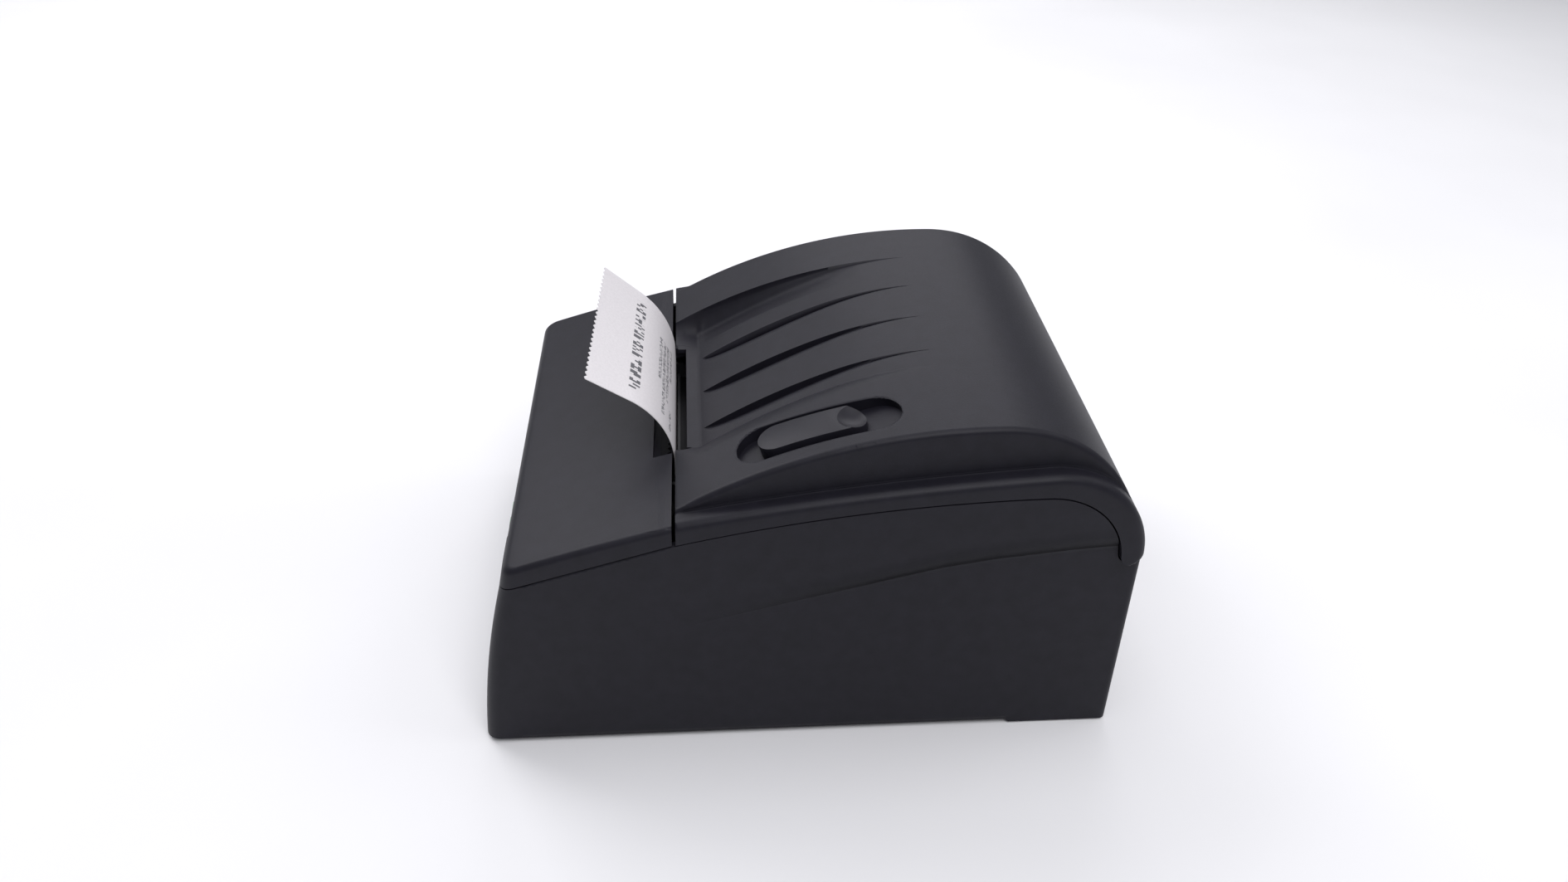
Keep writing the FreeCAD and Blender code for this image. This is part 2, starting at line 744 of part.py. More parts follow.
cover_corners = rounded("cover_corners", cover_blank, corner_radius, cover_corner)
cover_round = rounded("cover_round", cover_corners, cover_edge_radius, cover_crown)
cover_cavity = centred("cover_cavity", [
    Edge(seam_front_y + wall, cover_seam_height - wall),
    Edge(cover_rear_y - wall, cover_low),
    Edge(cover_rear_y - wall, cover_rear_height - wall, cover_crown_radius),
    Edge(seam_front_y + cover_lean + wall, cover_front_height - wall),
], inside_half)
notch_floor = cover_rear_height - notch_depth
notch_half = paper_width / 2 + notch_margin
notch_tub = box("notch_tub", (-notch_half - wall, notch_half + wall),
                (cover_rear_y - notch_length - wall, cover_rear_y), (notch_floor - wall,
                                                                     cover_rear_height - wall))
notch = box("notch", (-notch_half, notch_half), (cover_rear_y - notch_length, cover_rear_y + wall),
            (notch_floor, cover_rear_height + wall))
cover_shell = cut("cover_shell", cover_round, cover_cavity)
front_cover = keep(cut("front_cover", fused("cover_full", cover_shell, notch_tub), notch))

# Lid shell: a shoulder band with a taller arch on it, hollow below
lid_band = centred("lid_band", [
    Edge(lid_front_y, seam_break_height + seam_gap, seam_radius, -1),
    Edge(seam_peak_y, seam_peak_height + seam_gap, seam_rear_radius + seam_gap, -1),
    Edge(hinge_y - barrel_radius, hinge_height, barrel_radius),
    Edge(hinge_y, hinge_height - barrel_radius, barrel_radius),
    Edge(rear_y, hinge_height, shoulder_rear_radius),
    Edge(shoulder_peak_y, shoulder_peak_height, shoulder_radius),
    Edge(lid_front_y, shoulder_front_height),
], half_width)
arch_foot_height = hinge_height + arch_sink / 2
arch_foot_drop = arch_peak_height.value - arch_rear_radius.value - arch_foot_height.value
arch_foot_y = arch_peak_y + math.sqrt(arch_rear_radius.value ** 2 - arch_foot_drop ** 2)
arch_blank = centred("arch_blank", [
    Edge(lid_front_y, shoulder_front_height - arch_sink, shoulder_radius, -1),
    Edge(shoulder_peak_y, shoulder_peak_height - arch_sink, shoulder_rear_radius - arch_sink, -1),
    Edge(rear_y - arch_sink, arch_foot_height),
    Edge(arch_foot_y, arch_foot_height, arch_rear_radius),
    Edge(arch_peak_y, arch_peak_height, arch_radius),
    Edge(lid_front_y, arch_front_height),
], arch_half)


def bent_by(half, *radii):
    """A test for the curved edges of some radii that lie in the two side planes."""
    def chosen(edge):
        if not at_side(edge, half) or not isinstance(edge.Curve, Part.Circle):
            return False
        return any(abs(edge.Curve.Radius - radius.value) < TOUCH for radius in radii)
    return chosen


arch_round = rounded("arch_round", arch_blank, arch_edge_radius,
                     bent_by(arch_half, arch_radius, arch_rear_radius))
lid_full = fused("lid_full", lid_band, arch_round)

lid_low = rear_wall_top - wall
barrel_front = hinge_y - barrel_radius
barrel_top = hinge_height + barrel_radius
hollow_rear = [Edge(lid_front_y + wall, lid_low), Edge(barrel_front, lid_low), Edge(barrel_front, barrel_top)]
arch_hollow = centred("arch_hollow", hollow_rear + [
    Edge(rear_y - wall, barrel_top, arch_rear_radius - wall),
    Edge(arch_peak_y, arch_peak_height - wall, arch_radius),
    Edge(lid_front_y + wall, arch_front_height - wall),
], arch_half - wall)
band_hollow = centred("band_hollow", hollow_rear + [
    Edge(rear_y - wall, barrel_top, shoulder_rear_radius - wall),
    Edge(shoulder_peak_y, shoulder_peak_height - wall, shoulder_radius),
    Edge(lid_front_y + wall, shoulder_front_height - wall),
], inside_half)
lid_hollow = fused("lid_hollow", arch_hollow, band_hollow)

# What stays solid in the hollow: the backing of the panel, the recess and the slot, and the head's mounts
panel_back = wall + groove_depth
panel_end_y = arch_peak_y - panel_end_setback
panel_end_drop = panel_end_setback * panel_end_setback / (arch_radius * 2)
panel_end_height = arch_peak_height - panel_end_drop + panel_step
panel_half = slot_half + panel_flare


def panel_prism(name, drop, front, half):
    """A prism above a curve that lies some way below the panel's floor."""
    return centred(name, [
        Edge(front, lip_height - drop),
        Edge(lip_rear_y, lip_height - drop, panel_radius, -1),
        Edge(panel_end_y, panel_end_height - drop),
        Edge(panel_end_y, tall),
        Edge(front, tall),
    ], half)


pivot_y = paper_y + head_pivot_setback
spring_y = pivot_y + spring_setback
arm_top = head_pivot_height + head_pin_radius
lug_inside = slot_half + run_gap * 2
kept = [
    panel_prism("panel_backing", panel_back, lip_front_y, panel_half + wall),
    on_slope(prism("recess_tub", "XY_Plane", oval(recess_width + wall * 2, recess_length + wall * 2),
                   -recess_depth - wall, recess_depth + wall * 3), recess_shift),
    box("lip_backing", (-slot_half - wall, slot_half + wall), (lid_front_y, lip_front_y + wall),
        (lip_height - notch_depth - cover_edge_radius, tall)),
]
for label, side in SIDES.items():
    kept.append(box("head_lug_" + label, beside(side, lug_inside, lug_inside + lug_thickness),
                    (pivot_y - head_pin_radius - wall, pivot_y + head_pin_radius + wall),
                    (head_pivot_height - head_pin_radius - wall, tall)))
    kept.append(box("spring_seat_" + label, beside(side, slot_half - head_arm_width, slot_half),
                    (spring_y - spring_radius - wall / 2, spring_y + spring_radius + wall / 2),
                    (arm_top + spring_length, tall)))
lid_core = cut("lid_core", lid_hollow, *kept)
lid_shelled = cut("lid_shelled", lid_full, lid_core)


def floor_height(y):
    """The height of the panel's floor over the middle line."""
    if y <= lip_rear_y.value:
        return lip_height.value
    start = V(lip_rear_y.value, lip_height.value, 0)
    centre = circle_centre(start, V(panel_end_y.value, panel_end_height.value, 0), panel_radius.value)
    return centre.y + math.sqrt(panel_radius.value ** 2 - (y - centre.x) ** 2)


def arch_height(y):
    """The height of the arch over the middle line."""
    return arch_centre.y + math.sqrt(arch_radius.value ** 2 - (y - arch_centre.x) ** 2)


def skin(name, sections):
    """A smooth solid through a row of closed sections."""
    wires = [Part.makePolygon(points + points[:1]) for points in sections]
    return shaped(name, Part.makeLoft(wires, True, False))


FLARE_STEPS = 8


def flare(name, side):
    """The sloping wall beside the panel, as the wedge that it leaves open."""
    sections = []
    first, last = lid_front_y.value - wall.value, panel_end_y.value
    near, top = slot_half.value, tall.value
    near_in = near - run_gap.value
    spread = panel_flare.value / (arch_height(lip_rear_y.value) - lip_height.value)
    for step in range(FLARE_STEPS + 1):
        y = first + (last - first) * step / FLARE_STEPS
        low, high = floor_height(y) + panel_step.value, arch_height(y)
        far = near + max(spread * (high - low), run_gap.value)
        sections.append([V(side * near_in, y, low - panel_step.value / 2), V(side * near, y, low),
                         V(side * far, y, max(high, low + panel_step.value)),
                         V(side * far, y, top), V(side * near_in, y, top)])
    return skin(name, sections)


GROOVE_STEPS = 8
LEAF_PLACE = 0.25


def leaf(t):
    """The share of a groove's depth along its run, blunt in front and drawn out behind."""
    return math.sqrt(t / LEAF_PLACE) * ((1 - t) / (1 - LEAF_PLACE)) ** 1.5


def groove(name, middle):
    """A leaf-shaped channel in the panel's floor, steep on one side and gentle on the other."""
    sections = []
    first = lip_rear_y.value + lip_setback.value / 2
    end = groove_end.value
    for step in range(GROOVE_STEPS + 1):
        t = end + (1 - end * 2) * step / GROOVE_STEPS
        y = first + groove_run.value * slope_along * t
        deep = groove_depth.value * leaf(t) + groove_least.value
        wide = groove_spread.value * leaf(t) + groove_least.value * 2
        z = min(floor_height(min(y, panel_end_y.value)),
                arch_height(y)) if y < panel_end_y.value else arch_height(y)
        rise = groove_rise.value
        sections.append([V(middle, y, z - deep), V(middle + wide * (deep + rise) / deep, y, z + rise),
                         V(middle, y, z + rise)])
    return skin(name, sections)


lid_cuts = [panel_prism("panel_opening", 0, lid_front_y - wall, slot_half), flare("flare_right", 1),
            flare("flare_left", -1)]
for number in (-1, 0, 1):
    lid_cuts.append(groove("groove_%d" % (number + 1), number * groove_pitch.value))
lid_cuts.append(on_slope(prism("recess", "XY_Plane", oval(recess_width, recess_length), -recess_depth,
                               recess_depth + wall * 4), recess_shift))
lid_cuts.append(slope_box("stem_slot", (-(stem_width / 2) - run_gap, stem_width / 2 + run_gap),
                          (-(stem_length / 2) - release_travel - run_gap, stem_length / 2 + run_gap),
                          (-recess_depth - wall * 2, -(recess_depth / 2))))
lid_cuts.append(box("paper_slot", (-slot_half, slot_half), (lid_front_y - wall, lip_front_y),
                    (lid_low, tall)))
lid_bores = []
for label, side in SIDES.items():
    reach = beside(side, knuckle_offset - knuckle_width / 2 - run_gap,
                   knuckle_offset + knuckle_width / 2 + run_gap)
    lid_cuts.append(box("hinge_notch_" + label, reach, (barrel_front - run_gap * 2, rear_y + wall),
                        (lid_low, barrel_top + run_gap * 2)))
    pin_start = side * knuckle_offset - hinge_pin_length / 2
    lid_bores.append(rod("lid_bore_" + label, "x", (pin_start, hinge_y, hinge_height), hinge_pin_length,
                         hinge_pin_radius + bore_gap))
head_pin_half = lug_inside + lug_thickness
lid_bores.append(rod("head_pin_bore", "x", (-head_pin_half - wall, pivot_y, head_pivot_height),
                     (head_pin_half + wall) * 2, head_pin_radius))
lid_open = lid_shelled
for tool in lid_cuts:
    lid_open = cut(tool.Name + "_cut", lid_open, tool)
lid_shell = keep(cut("lid_shell", lid_open, *lid_bores))

# Bottom plate with the standoffs of the main board, the feet and the screws
plate_x = (-inside_half + run_gap, inside_half - run_gap)
plate_y = (front_y + wall + run_gap * 2, rear_y - wall - run_gap)
plate = box("plate", plate_x, plate_y, (rim_lift, plate_top))
board_rear = niche_y - wall - run_gap
board_x = board_width / 2
STANDOFFS = [(side * (board_x - standoff_radius - run_gap),
              board_rear - board_length / 2 + end * (board_length / 2 - standoff_radius - run_gap))
             for side in SIDES.values() for end in SIDES.values()]
plate_adds, plate_cuts, board_cuts, board_screw_list = [], [], [], []
for number, (x, y) in enumerate(STANDOFFS):
    plate_adds.append(rod("standoff_%d" % number, "z", (x, y, plate_top), board_lift, standoff_radius))
    plate_cuts.append(rod("standoff_hole_%d" % number, "z", (x, y, rim_lift), board_top, screw_radius))
    board_cuts.append(rod("board_hole_%d" % number, "z", (x, y, plate_top), board_top, screw_radius))
    shank = rod("board_shank_%d" % number, "z", (x, y, plate_top), board_lift + board_thickness, screw_radius)
    head = rod("board_head_%d" % number, "z", (x, y, board_top), screw_head_height, screw_head_radius)
    board_screw_list.append(fused("board_screw_%d" % number, shank, head))
for number, (x, y) in enumerate(BOTTOM_SCREWS):
    plate_cuts.append(rod("plate_hole_%d" % number, "z", (x, y, 0), plate_top * 2, screw_radius))
bottom_plate = keep(cut("bottom_plate", fused("plate_full", plate, *plate_adds), *plate_cuts))
board_screws = keep(group("board_screws", *board_screw_list))
rubber_feet = keep(group("rubber_feet", *[
    rod("foot_%s_%s" % (one, other), "z", (side * foot_offset_across, end * foot_offset_along, 0), rim_lift,
        foot_radius)
    for one, side in SIDES.items() for other, end in SIDES.items()]))


def screw_row(name, places, low, high, head_low, head_high):
    """A set of equal screws, each a shank and a head."""
    screws = []
    for number, (x, y) in enumerate(places):
        shank = rod("%s_shank_%d" % (name, number), "z", (x, y, low), high - low, screw_radius)
        head = rod("%s_head_%d" % (name, number), "z", (x, y, head_low), head_high - head_low,
                   screw_head_radius)
        screws.append(fused("%s_screw_%d" % (name, number), shank, head))
    return keep(group(name, *screws))


bottom_screws = screw_row("bottom_screws", BOTTOM_SCREWS, rim_lift, plate_top + ledge_thickness,
                          rim_lift - screw_recess, rim_lift)
deck_screws = screw_row("deck_screws", DECK_SCREWS, deck_height - ledge_thickness, deck_top,
                        deck_top, deck_top + screw_head_height)

# Paper path: off the top of the roll, round under the head, up through the slot and over in a curl
bin_y = rear_y - bin_centre_setback
roll_height = bin_centre_height - bin_radius + roll_radius + run_gap
roll_point = V(bin_y.value, roll_height.value, 0)
turn_point = V(paper_y.value + web_turn_radius.value, web_turn_height.value, 0)
web_lift = roll_radius.value + run_gap.value
reach = turn_point - roll_point
web_angle = math.atan2(reach.y, reach.x) + math.asin((web_lift + web_turn_radius.value) / reach.Length)
web_left = V(-math.sin(web_angle), math.cos(web_angle), 0)
web_start = roll_point - web_left * web_lift
web_end = turn_point + web_left * web_turn_radius.value
web_slope = math.degrees(web_angle) - 180


def web_height(y):
    """The height of the paper between the roll and the head."""
    return web_start.y + (y - web_start.x) * math.tan(web_angle)


def polar(centre, radius, angle):
    """A point at an angle and a distance from a centre."""
    return V(centre.x + radius * math.cos(angle), centre.y + radius * math.sin(angle), 0)


def standing(point, x):
    """A point of the side view, set at a place across the printer."""
    return V(x, point.x, point.y)


def bend(centre, radius, first, last):
    """An arc in the side view, by its centre and two angles."""
    return Part.Arc(polar(centre, radius, first), polar(centre, radius, (first + last) / 2),
                    polar(centre, radius, last))


def strip_side(shift):
    """One face of the paper, shifted to the left of its way."""
    left = web_left * shift
    curl_point = V(paper_y.value - curl_radius.value, exit_height.value, 0)
    last = math.radians(curl_angle.value)
    curl_end = polar(curl_point, curl_radius.value - shift, last)
    tip = curl_end + V(-math.sin(last), math.cos(last), 0) * tip_length.value
    rise = V(turn_point.x - web_turn_radius.value - shift, turn_point.y, 0)
    exit_point = V(rise.x, exit_height.value, 0)
    return [
        Part.LineSegment(web_start + left, web_end + left),
        bend(turn_point, web_turn_radius.value + shift, web_angle + math.pi / 2, math.pi),
        Part.LineSegment(rise, exit_point),
        bend(curl_point, curl_radius.value - shift, 0, last),
        Part.LineSegment(curl_end, tip),
    ], web_start + left, tip


def strip():
    """The paper as a thin band across the printer."""
    half = paper_thickness.value / 2
    one, one_start, one_end = strip_side(half)
    other, other_start, other_end = strip_side(-half)
    curves = one + other + [Part.LineSegment(one_end, other_end), Part.LineSegment(one_start, other_start)]
    edges = [curve.toShape() for curve in curves]
    turn = FreeCAD.Matrix(0, 0, 1, -paper_width.value / 2, 1, 0, 0, 0, 0, 1, 0, 0, 0, 0, 0, 1)
    face = Part.Face(Part.Wire(Part.__sortEdges__(edges))).transformGeometry(turn)
    return face.extrude(V(paper_width.value, 0, 0))


def tear_teeth():
    """The row of notches along the torn edge."""
    half = paper_thickness.value / 2
    ends = [strip_side(shift)[2] for shift in (half + tear_depth.value, -half - tear_depth.value)]
    back = ends[1] - ends[0]
    along = V(-back.y, back.x, 0)
    along.normalize()
    if along.x > 0:
        along = along * -1
    teeth = []
    count = int(paper_width.value / tear_pitch.value)
    for number in range(count):
        middle = (number + 0.5 - count / 2) * tear_pitch.value
        inner = standing(ends[0] - along * tear_depth.value, middle)
        corners = [inner] + [standing(ends[0] + along * paper_thickness.value,
                                      middle + side * tear_pitch.value / 2) for side in (-1, 1)]
        face = Part.Face(Part.makePolygon(corners + corners[:1]))
        teeth.append(face.extrude(standing(back, 0)))
    return Part.makeCompound(teeth)


receipt_paper = keep(cut("receipt_paper", shaped("paper_strip", strip()), shaped("torn_edge", tear_teeth())))
paper_wound = rod("paper_wound", "x", (-(paper_width / 2), bin_y, roll_height), paper_width, roll_radius)
core_hole = rod("core_hole", "x", (-(paper_width / 2), bin_y, roll_height), paper_width, core_radius)
paper_roll = keep(cut("paper_roll", paper_wound, core_hole))
core_full = rod("core_full", "x", (-(paper_width / 2), bin_y, roll_height), paper_width, core_radius)
core_bore = rod("core_bore", "x", (-(paper_width / 2), bin_y, roll_height), paper_width, core_bore_radius)
roll_core = keep(cut("roll_core", core_full, core_bore))

# Paper bin: the inner deck with the roll's trough and the chute
bin_out = bin_radius + bin_wall
bin_half = bin_width / 2


def trough(name, radius, top, half):
    """A round-bottomed block across the printer."""
    return centred(name, [
        Edge(bin_y - radius, top),
        Edge(bin_y - radius, bin_centre_height, radius),
        Edge(bin_y, bin_centre_height - radius, radius),
        Edge(bin_y + radius, bin_centre_height),
        Edge(bin_y + radius, top),
    ], half)


chute_front = lip_rear_y + run_gap * 2
chute_rear = bin_y - bin_out + bin_wall / 2
chute_low, chute_high = web_height(chute_front.value) - chute_drop, web_height(chute_rear.value) - chute_drop
deck = box("deck", (-inside_half + run_gap, inside_half - run_gap), (chute_front, hinge_y - ledge_width),
           (deck_height, deck_top))
deck_window = box("deck_window", (-bin_half - bin_wall / 2, bin_half + bin_wall / 2),
                  (chute_front - wall, bin_y + bin_radius), (deck_height - wall, deck_top + wall))
chute = centred("chute", [
    Edge(chute_front, chute_low - bin_wall), Edge(chute_rear, chute_high - bin_wall),
    Edge(chute_rear, chute_high), Edge(chute_front, chute_low)], bin_half + bin_wall)
cheeks = []
for label, side in SIDES.items():
    cheeks.append(across("chute_cheek_" + label, [
        Edge(chute_front, chute_low - bin_wall), Edge(chute_rear, chute_high - bin_wall),
        Edge(chute_rear, deck_top), Edge(chute_front, deck_top)],
        *beside(side, bin_half, bin_half + bin_wall)))
trough_shell = cut("trough_shell", trough("trough_outside", bin_out, deck_top, bin_half + bin_wall),
                   trough("trough_inside", bin_radius, tall, bin_half))
mouth = box("bin_mouth", (-bin_half, bin_half), (bin_y - bin_out - wall, bin_y - bin_radius + wall),
            (chute_high, tall))
deck_open = cut("deck_open", deck, deck_window)
bin_full = fused("bin_full", deck_open, trough_shell, chute, *cheeks)
bin_holes = [rod("deck_hole_%d" % number, "z", (x, y, deck_height - wall), wall * 3, screw_radius)
             for number, (x, y) in enumerate(DECK_SCREWS)]
paper_bin = keep(cut("paper_bin", bin_full, mouth, *bin_holes))
sensor = box("paper_sensor", (sensor_length, sensor_length * 2), (0, sensor_length), (-sensor_height, 0))
sensor_y = chute_front + sensor_length
sensor_up = math.cos(math.radians(web_slope))
sensor_along = sensor_y + sensor_height * math.sin(math.radians(web_slope))
sensor_low = web_height(sensor_y.value) - chute_drop - bin_wall / sensor_up - sensor_height * sensor_up
paper_sensor = keep(turned(sensor, web_slope, sensor_length, sensor_along, sensor_low))

# Print mechanism: a bent frame that carries the platen, the gears and the motor
cheek_out = cheek_inside + cheek_thickness
cheek_front = platen_y - motor_radius * 3
cheek_rear = chute_front - run_gap
frame_top = nip_height + platen_radius + wall
cheek_outline = [
    Edge(cheek_front, plate_top), Edge(cheek_rear, plate_top), Edge(cheek_rear, deck_height - wall),
    Edge(platen_y + platen_radius + wall, frame_top), Edge(platen_y - platen_radius - wall, frame_top),
    Edge(cheek_front, nip_height - motor_radius * 2)]
frame_adds = [across("cheek_" + label, cheek_outline, *beside(side, cheek_inside, cheek_out))
              for label, side in SIDES.items()]
frame_adds.append(box("frame_web", (-cheek_out, cheek_out), (cheek_front, cheek_rear),
                      (plate_top, plate_top + cheek_thickness)))
gear_inner = cheek_out + bush_flange + run_gap * 2
gear_outer = gear_inner + gear_width


def spaced(start_y, start_z, distance, angle):
    """A point at a distance and an angle from another, in the side view."""
    return (start_y + distance * math.cos(math.radians(angle.value)),
            start_z + distance * math.sin(math.radians(angle.value)))


idler_y, idler_z = spaced(platen_y, nip_height, gear_module * (platen_teeth + idler_teeth) / 2, idler_angle)
pinion_y, pinion_z = spaced(idler_y, idler_z, gear_module * (idler_teeth + pinion_teeth) / 2, pinion_angle)
ears = [pinion_y + side * motor_ear_pitch / 2 for side in SIDES.values()]
frame_cuts = [
    rod("bush_bore", "x", (-cheek_out - wall, platen_y, nip_height), (cheek_out + wall) * 2, bush_radius),
    rod("idler_pin_hole", "x", (-cheek_out - wall, idler_y, idler_z), wall * 3, idler_pin_radius),
    rod("motor_hole", "x", (-cheek_out - wall, pinion_y, pinion_z), wall * 3, motor_shaft_radius * 3)]
for number, y in enumerate(ears):
    frame_cuts.append(rod("motor_screw_hole_%d" % number, "x", (-cheek_out - wall, y, pinion_z), wall * 3,
                          screw_radius))
mechanism_frame = keep(cut("mechanism_frame", fused("frame_full", *frame_adds), *frame_cuts))

platen_shaft = keep(rod("platen_shaft", "x", (-gear_outer, platen_y, nip_height),
                        gear_outer + cheek_out + bush_flange + run_gap * 2, shaft_radius))
rubber_full = rod("rubber_full", "x", (-(paper_width / 2), platen_y, nip_height), paper_width, platen_radius)
rubber_bore = rod("rubber_bore", "x", (-(paper_width / 2), platen_y, nip_height), paper_width, shaft_radius)
platen_rubber = keep(cut("platen_rubber", rubber_full, rubber_bore))
bushes = []
for label, side in SIDES.items():
    body_span = beside(side, cheek_inside, cheek_out)
    flange_span = beside(side, cheek_out, cheek_out + bush_flange)
    sleeve = rod("bush_sleeve_" + label, "x", (body_span[0], platen_y, nip_height), cheek_thickness,
                 bush_radius)
    flange = rod("bush_flange_" + label, "x", (flange_span[0], platen_y, nip_height), bush_flange,
                 bush_flange_radius)
    hole = rod("bush_hole_" + label,
               "x", (beside(side, cheek_inside - wall, gear_inner)[0], platen_y, nip_height),
               gear_inner - cheek_inside + wall, shaft_radius + bore_gap)
    bushes.append(cut("bush_" + label, fused("bush_full_" + label, sleeve, flange), hole))
platen_bushes = keep(group("platen_bushes", *bushes))


def gear_shape(teeth, bore, phase, y, z):
    """A spur gear across the printer, a tooth's middle at the phase angle."""
    pressure = math.radians(pressure_angle.value)
    pitch = gear_module.value * teeth.value / 2
    base = pitch * math.cos(pressure)
    tip, root = pitch + gear_module.value, pitch - gear_root_depth.value
    inv = math.tan(pressure) - pressure
    half = math.pi / teeth.value / 2 - gear_backlash.value / pitch / 2
    flank = []
    for step in range(4):
        radius = max(root, base) + (tip - max(root, base)) * step / 3
        roll = math.acos(min(1.0, base / radius))
        flank.append((radius, half + inv - math.tan(roll) + roll))
    flank.insert(0, (root, flank[0][1]))
    points = []
    for number in range(int(teeth.value)):
        middle = phase + 2 * math.pi * number / teeth.value
        for radius, turn in [(r, -a) for r, a in flank] + [(r, a) for r, a in reversed(flank)]:
            points.append(V(-gear_outer.value, y.value + radius * math.cos(middle + turn),
                            z.value + radius * math.sin(middle + turn)))
    disc = Part.Face(Part.makePolygon(points + points[:1])).extrude(V(gear_width.value, 0, 0))
    hole = Part.makeCylinder(bore.value, gear_width.value * 3,
                             V(-gear_outer.value - gear_width.value, y.value, z.value),
                             V(1, 0, 0))
    return disc.cut(hole)


def meshed(phase, teeth, other_teeth, angle):
    """The phase of a gear that meshes at an angle with one of a given phase."""
    off = math.radians(angle.value) - phase
    facing = math.radians(angle.value) + math.pi
    return facing + (off * teeth.value + math.pi) / other_teeth.value


platen_phase = math.radians(idler_angle.value)
idler_phase = meshed(platen_phase, platen_teeth, idler_teeth, idler_angle)
pinion_phase = meshed(idler_phase, idler_teeth, pinion_teeth, pinion_angle)
platen_gear = keep(shaped("platen_gear",
                          gear_shape(platen_teeth, shaft_radius, platen_phase, platen_y, nip_height)))
idler_gear = keep(shaped("idler_gear",
                         gear_shape(idler_teeth, idler_pin_radius + bore_gap, idler_phase, idler_y,
                                    idler_z)))
motor_pinion = keep(shaped("motor_pinion",
                           gear_shape(pinion_teeth, motor_shaft_radius, pinion_phase, pinion_y, pinion_z)))
pin_stem = rod("pin_stem", "x", (-gear_outer - bush_flange - run_gap, idler_y, idler_z),
               gear_outer + bush_flange + run_gap - cheek_inside, idler_pin_radius)
pin_head = rod("pin_head", "x", (-gear_outer - bush_flange - run_gap, idler_y, idler_z), bush_flange,
               idler_pin_radius * 2)
pin_stop = rod("pin_stop", "x", (-gear_inner + run_gap, idler_y, idler_z), gear_inner - run_gap - cheek_out,
               idler_pin_radius * 2)
idler_pin = keep(fused("idler_pin", pin_stem, pin_head, pin_stop))

motor_can = rod("motor_can", "x", (-cheek_inside, pinion_y, pinion_z), motor_length, motor_radius)
motor_ears = box("motor_ears", (-cheek_inside, -cheek_inside + cheek_thickness),
                 (ears[1] - screw_head_radius, ears[0] + screw_head_radius),
                 (pinion_z - screw_head_radius, pinion_z + screw_head_radius))
motor_cuts = [rod("motor_bore", "x", (-cheek_out, pinion_y, pinion_z), motor_bore_depth,
                  motor_shaft_radius + bore_gap)]
motor_screw_list = []
for number, y in enumerate(ears):
    motor_cuts.append(rod("ear_hole_%d" % number, "x", (-cheek_out, y, pinion_z), wall * 2, screw_radius))
    shank = rod("motor_shank_%d" % number, "x", (-cheek_out, y, pinion_z), cheek_thickness * 2, screw_radius)
    head = rod("motor_head_%d" % number, "x", (-cheek_inside + cheek_thickness, y, pinion_z),
               screw_head_height, screw_head_radius)
    motor_screw_list.append(fused("motor_screw_%d" % number, shank, head))
stepper_motor = keep(cut("stepper_motor", fused("motor_full", motor_can, motor_ears), *motor_cuts))
motor_screws = keep(group("motor_screws", *motor_screw_list))
motor_shaft = keep(rod("motor_shaft", "x", (-gear_outer - run_gap, pinion_y, pinion_z),
                       gear_outer + run_gap - cheek_out + motor_shaft_depth, motor_shaft_radius))


def saw(first, last, pitch, depth, rear, front, low, high):
    """A flat strip with a row of pointed teeth along its rear edge."""
    count = int((last - first) / pitch)
    points = [V(first, front, low)]
    points.append(V(first + count * pitch, front, low))
    for number in range(count, 0, -1):
        points.append(V(first + number * pitch, rear - depth, low))
        points.append(V(first + (number - 0.5) * pitch, rear, low))
    points.append(V(first, rear - depth, low))
    return Part.Face(Part.makePolygon(points + points[:1])).extrude(V(0, 0, high - low))


bar_rear = cover_rear_y - run_gap
bar_front = cover_rear_y - tear_bar_width
tear_bar = keep(shaped("tear_bar",
                       saw(-paper_width.value / 2, paper_width.value / 2, tear_pitch.value,
                           tear_depth.value,
                                       bar_rear.value, bar_front.value, notch_floor.value,
                                       notch_floor.value + tear_bar_thickness.value)))

# Print head in the lid: a heated plate on a heat sink that rocks on a pin against two springs
head_top = nip_height + head_above_nip
head_low = head_top - head_height
face_top = paper_y + paper_thickness / 2 + head_clearance
face_low = face_top + head_lean
thermal_head = keep(centred("thermal_head", [
    Edge(face_low, head_low), Edge(face_low + head_thickness, head_low),
    Edge(face_top + head_thickness, head_top), Edge(face_top, head_top)], paper_width / 2))
sink_rear = face_top + head_thickness + heatsink_thickness
sink_plate = centred("sink_plate", [
    Edge(face_low + head_thickness, head_low), Edge(sink_rear, head_low), Edge(sink_rear, head_top),
    Edge(face_top + head_thickness, head_top)], slot_half)
sink_parts = [sink_plate]
boss_radius = head_pin_radius + wall / 2
for label, side in SIDES.items():
    span = beside(side, slot_half - head_arm_width, slot_half)
    sink_parts.append(across("head_arm_" + label, [
        Edge(sink_rear - wall / 2, head_top - head_arm_width), Edge(sink_rear, head_top - head_arm_width),
        Edge(pivot_y, head_pivot_height - boss_radius),
        Edge(spring_y + spring_radius, head_pivot_height - head_pin_radius),
        Edge(spring_y + spring_radius, arm_top), Edge(pivot_y - boss_radius, arm_top),
        Edge(sink_rear - wall / 2, head_top)], *span))
    sink_parts.append(rod("head_boss_" + label, "x", (span[0], pivot_y, head_pivot_height), head_arm_width,
                          boss_radius))
sink_bore = rod("sink_bore", "x", (-slot_half - wall, pivot_y, head_pivot_height), slot_width + wall * 2,
                head_pin_radius + bore_gap)
head_heatsink = keep(cut("head_heatsink", fused("sink_full", *sink_parts), sink_bore))
head_pivot_pin = keep(rod("head_pivot_pin", "x", (-head_pin_half, pivot_y, head_pivot_height),
                          head_pin_half * 2,
                          head_pin_radius))


WIRE_FLATS = 6


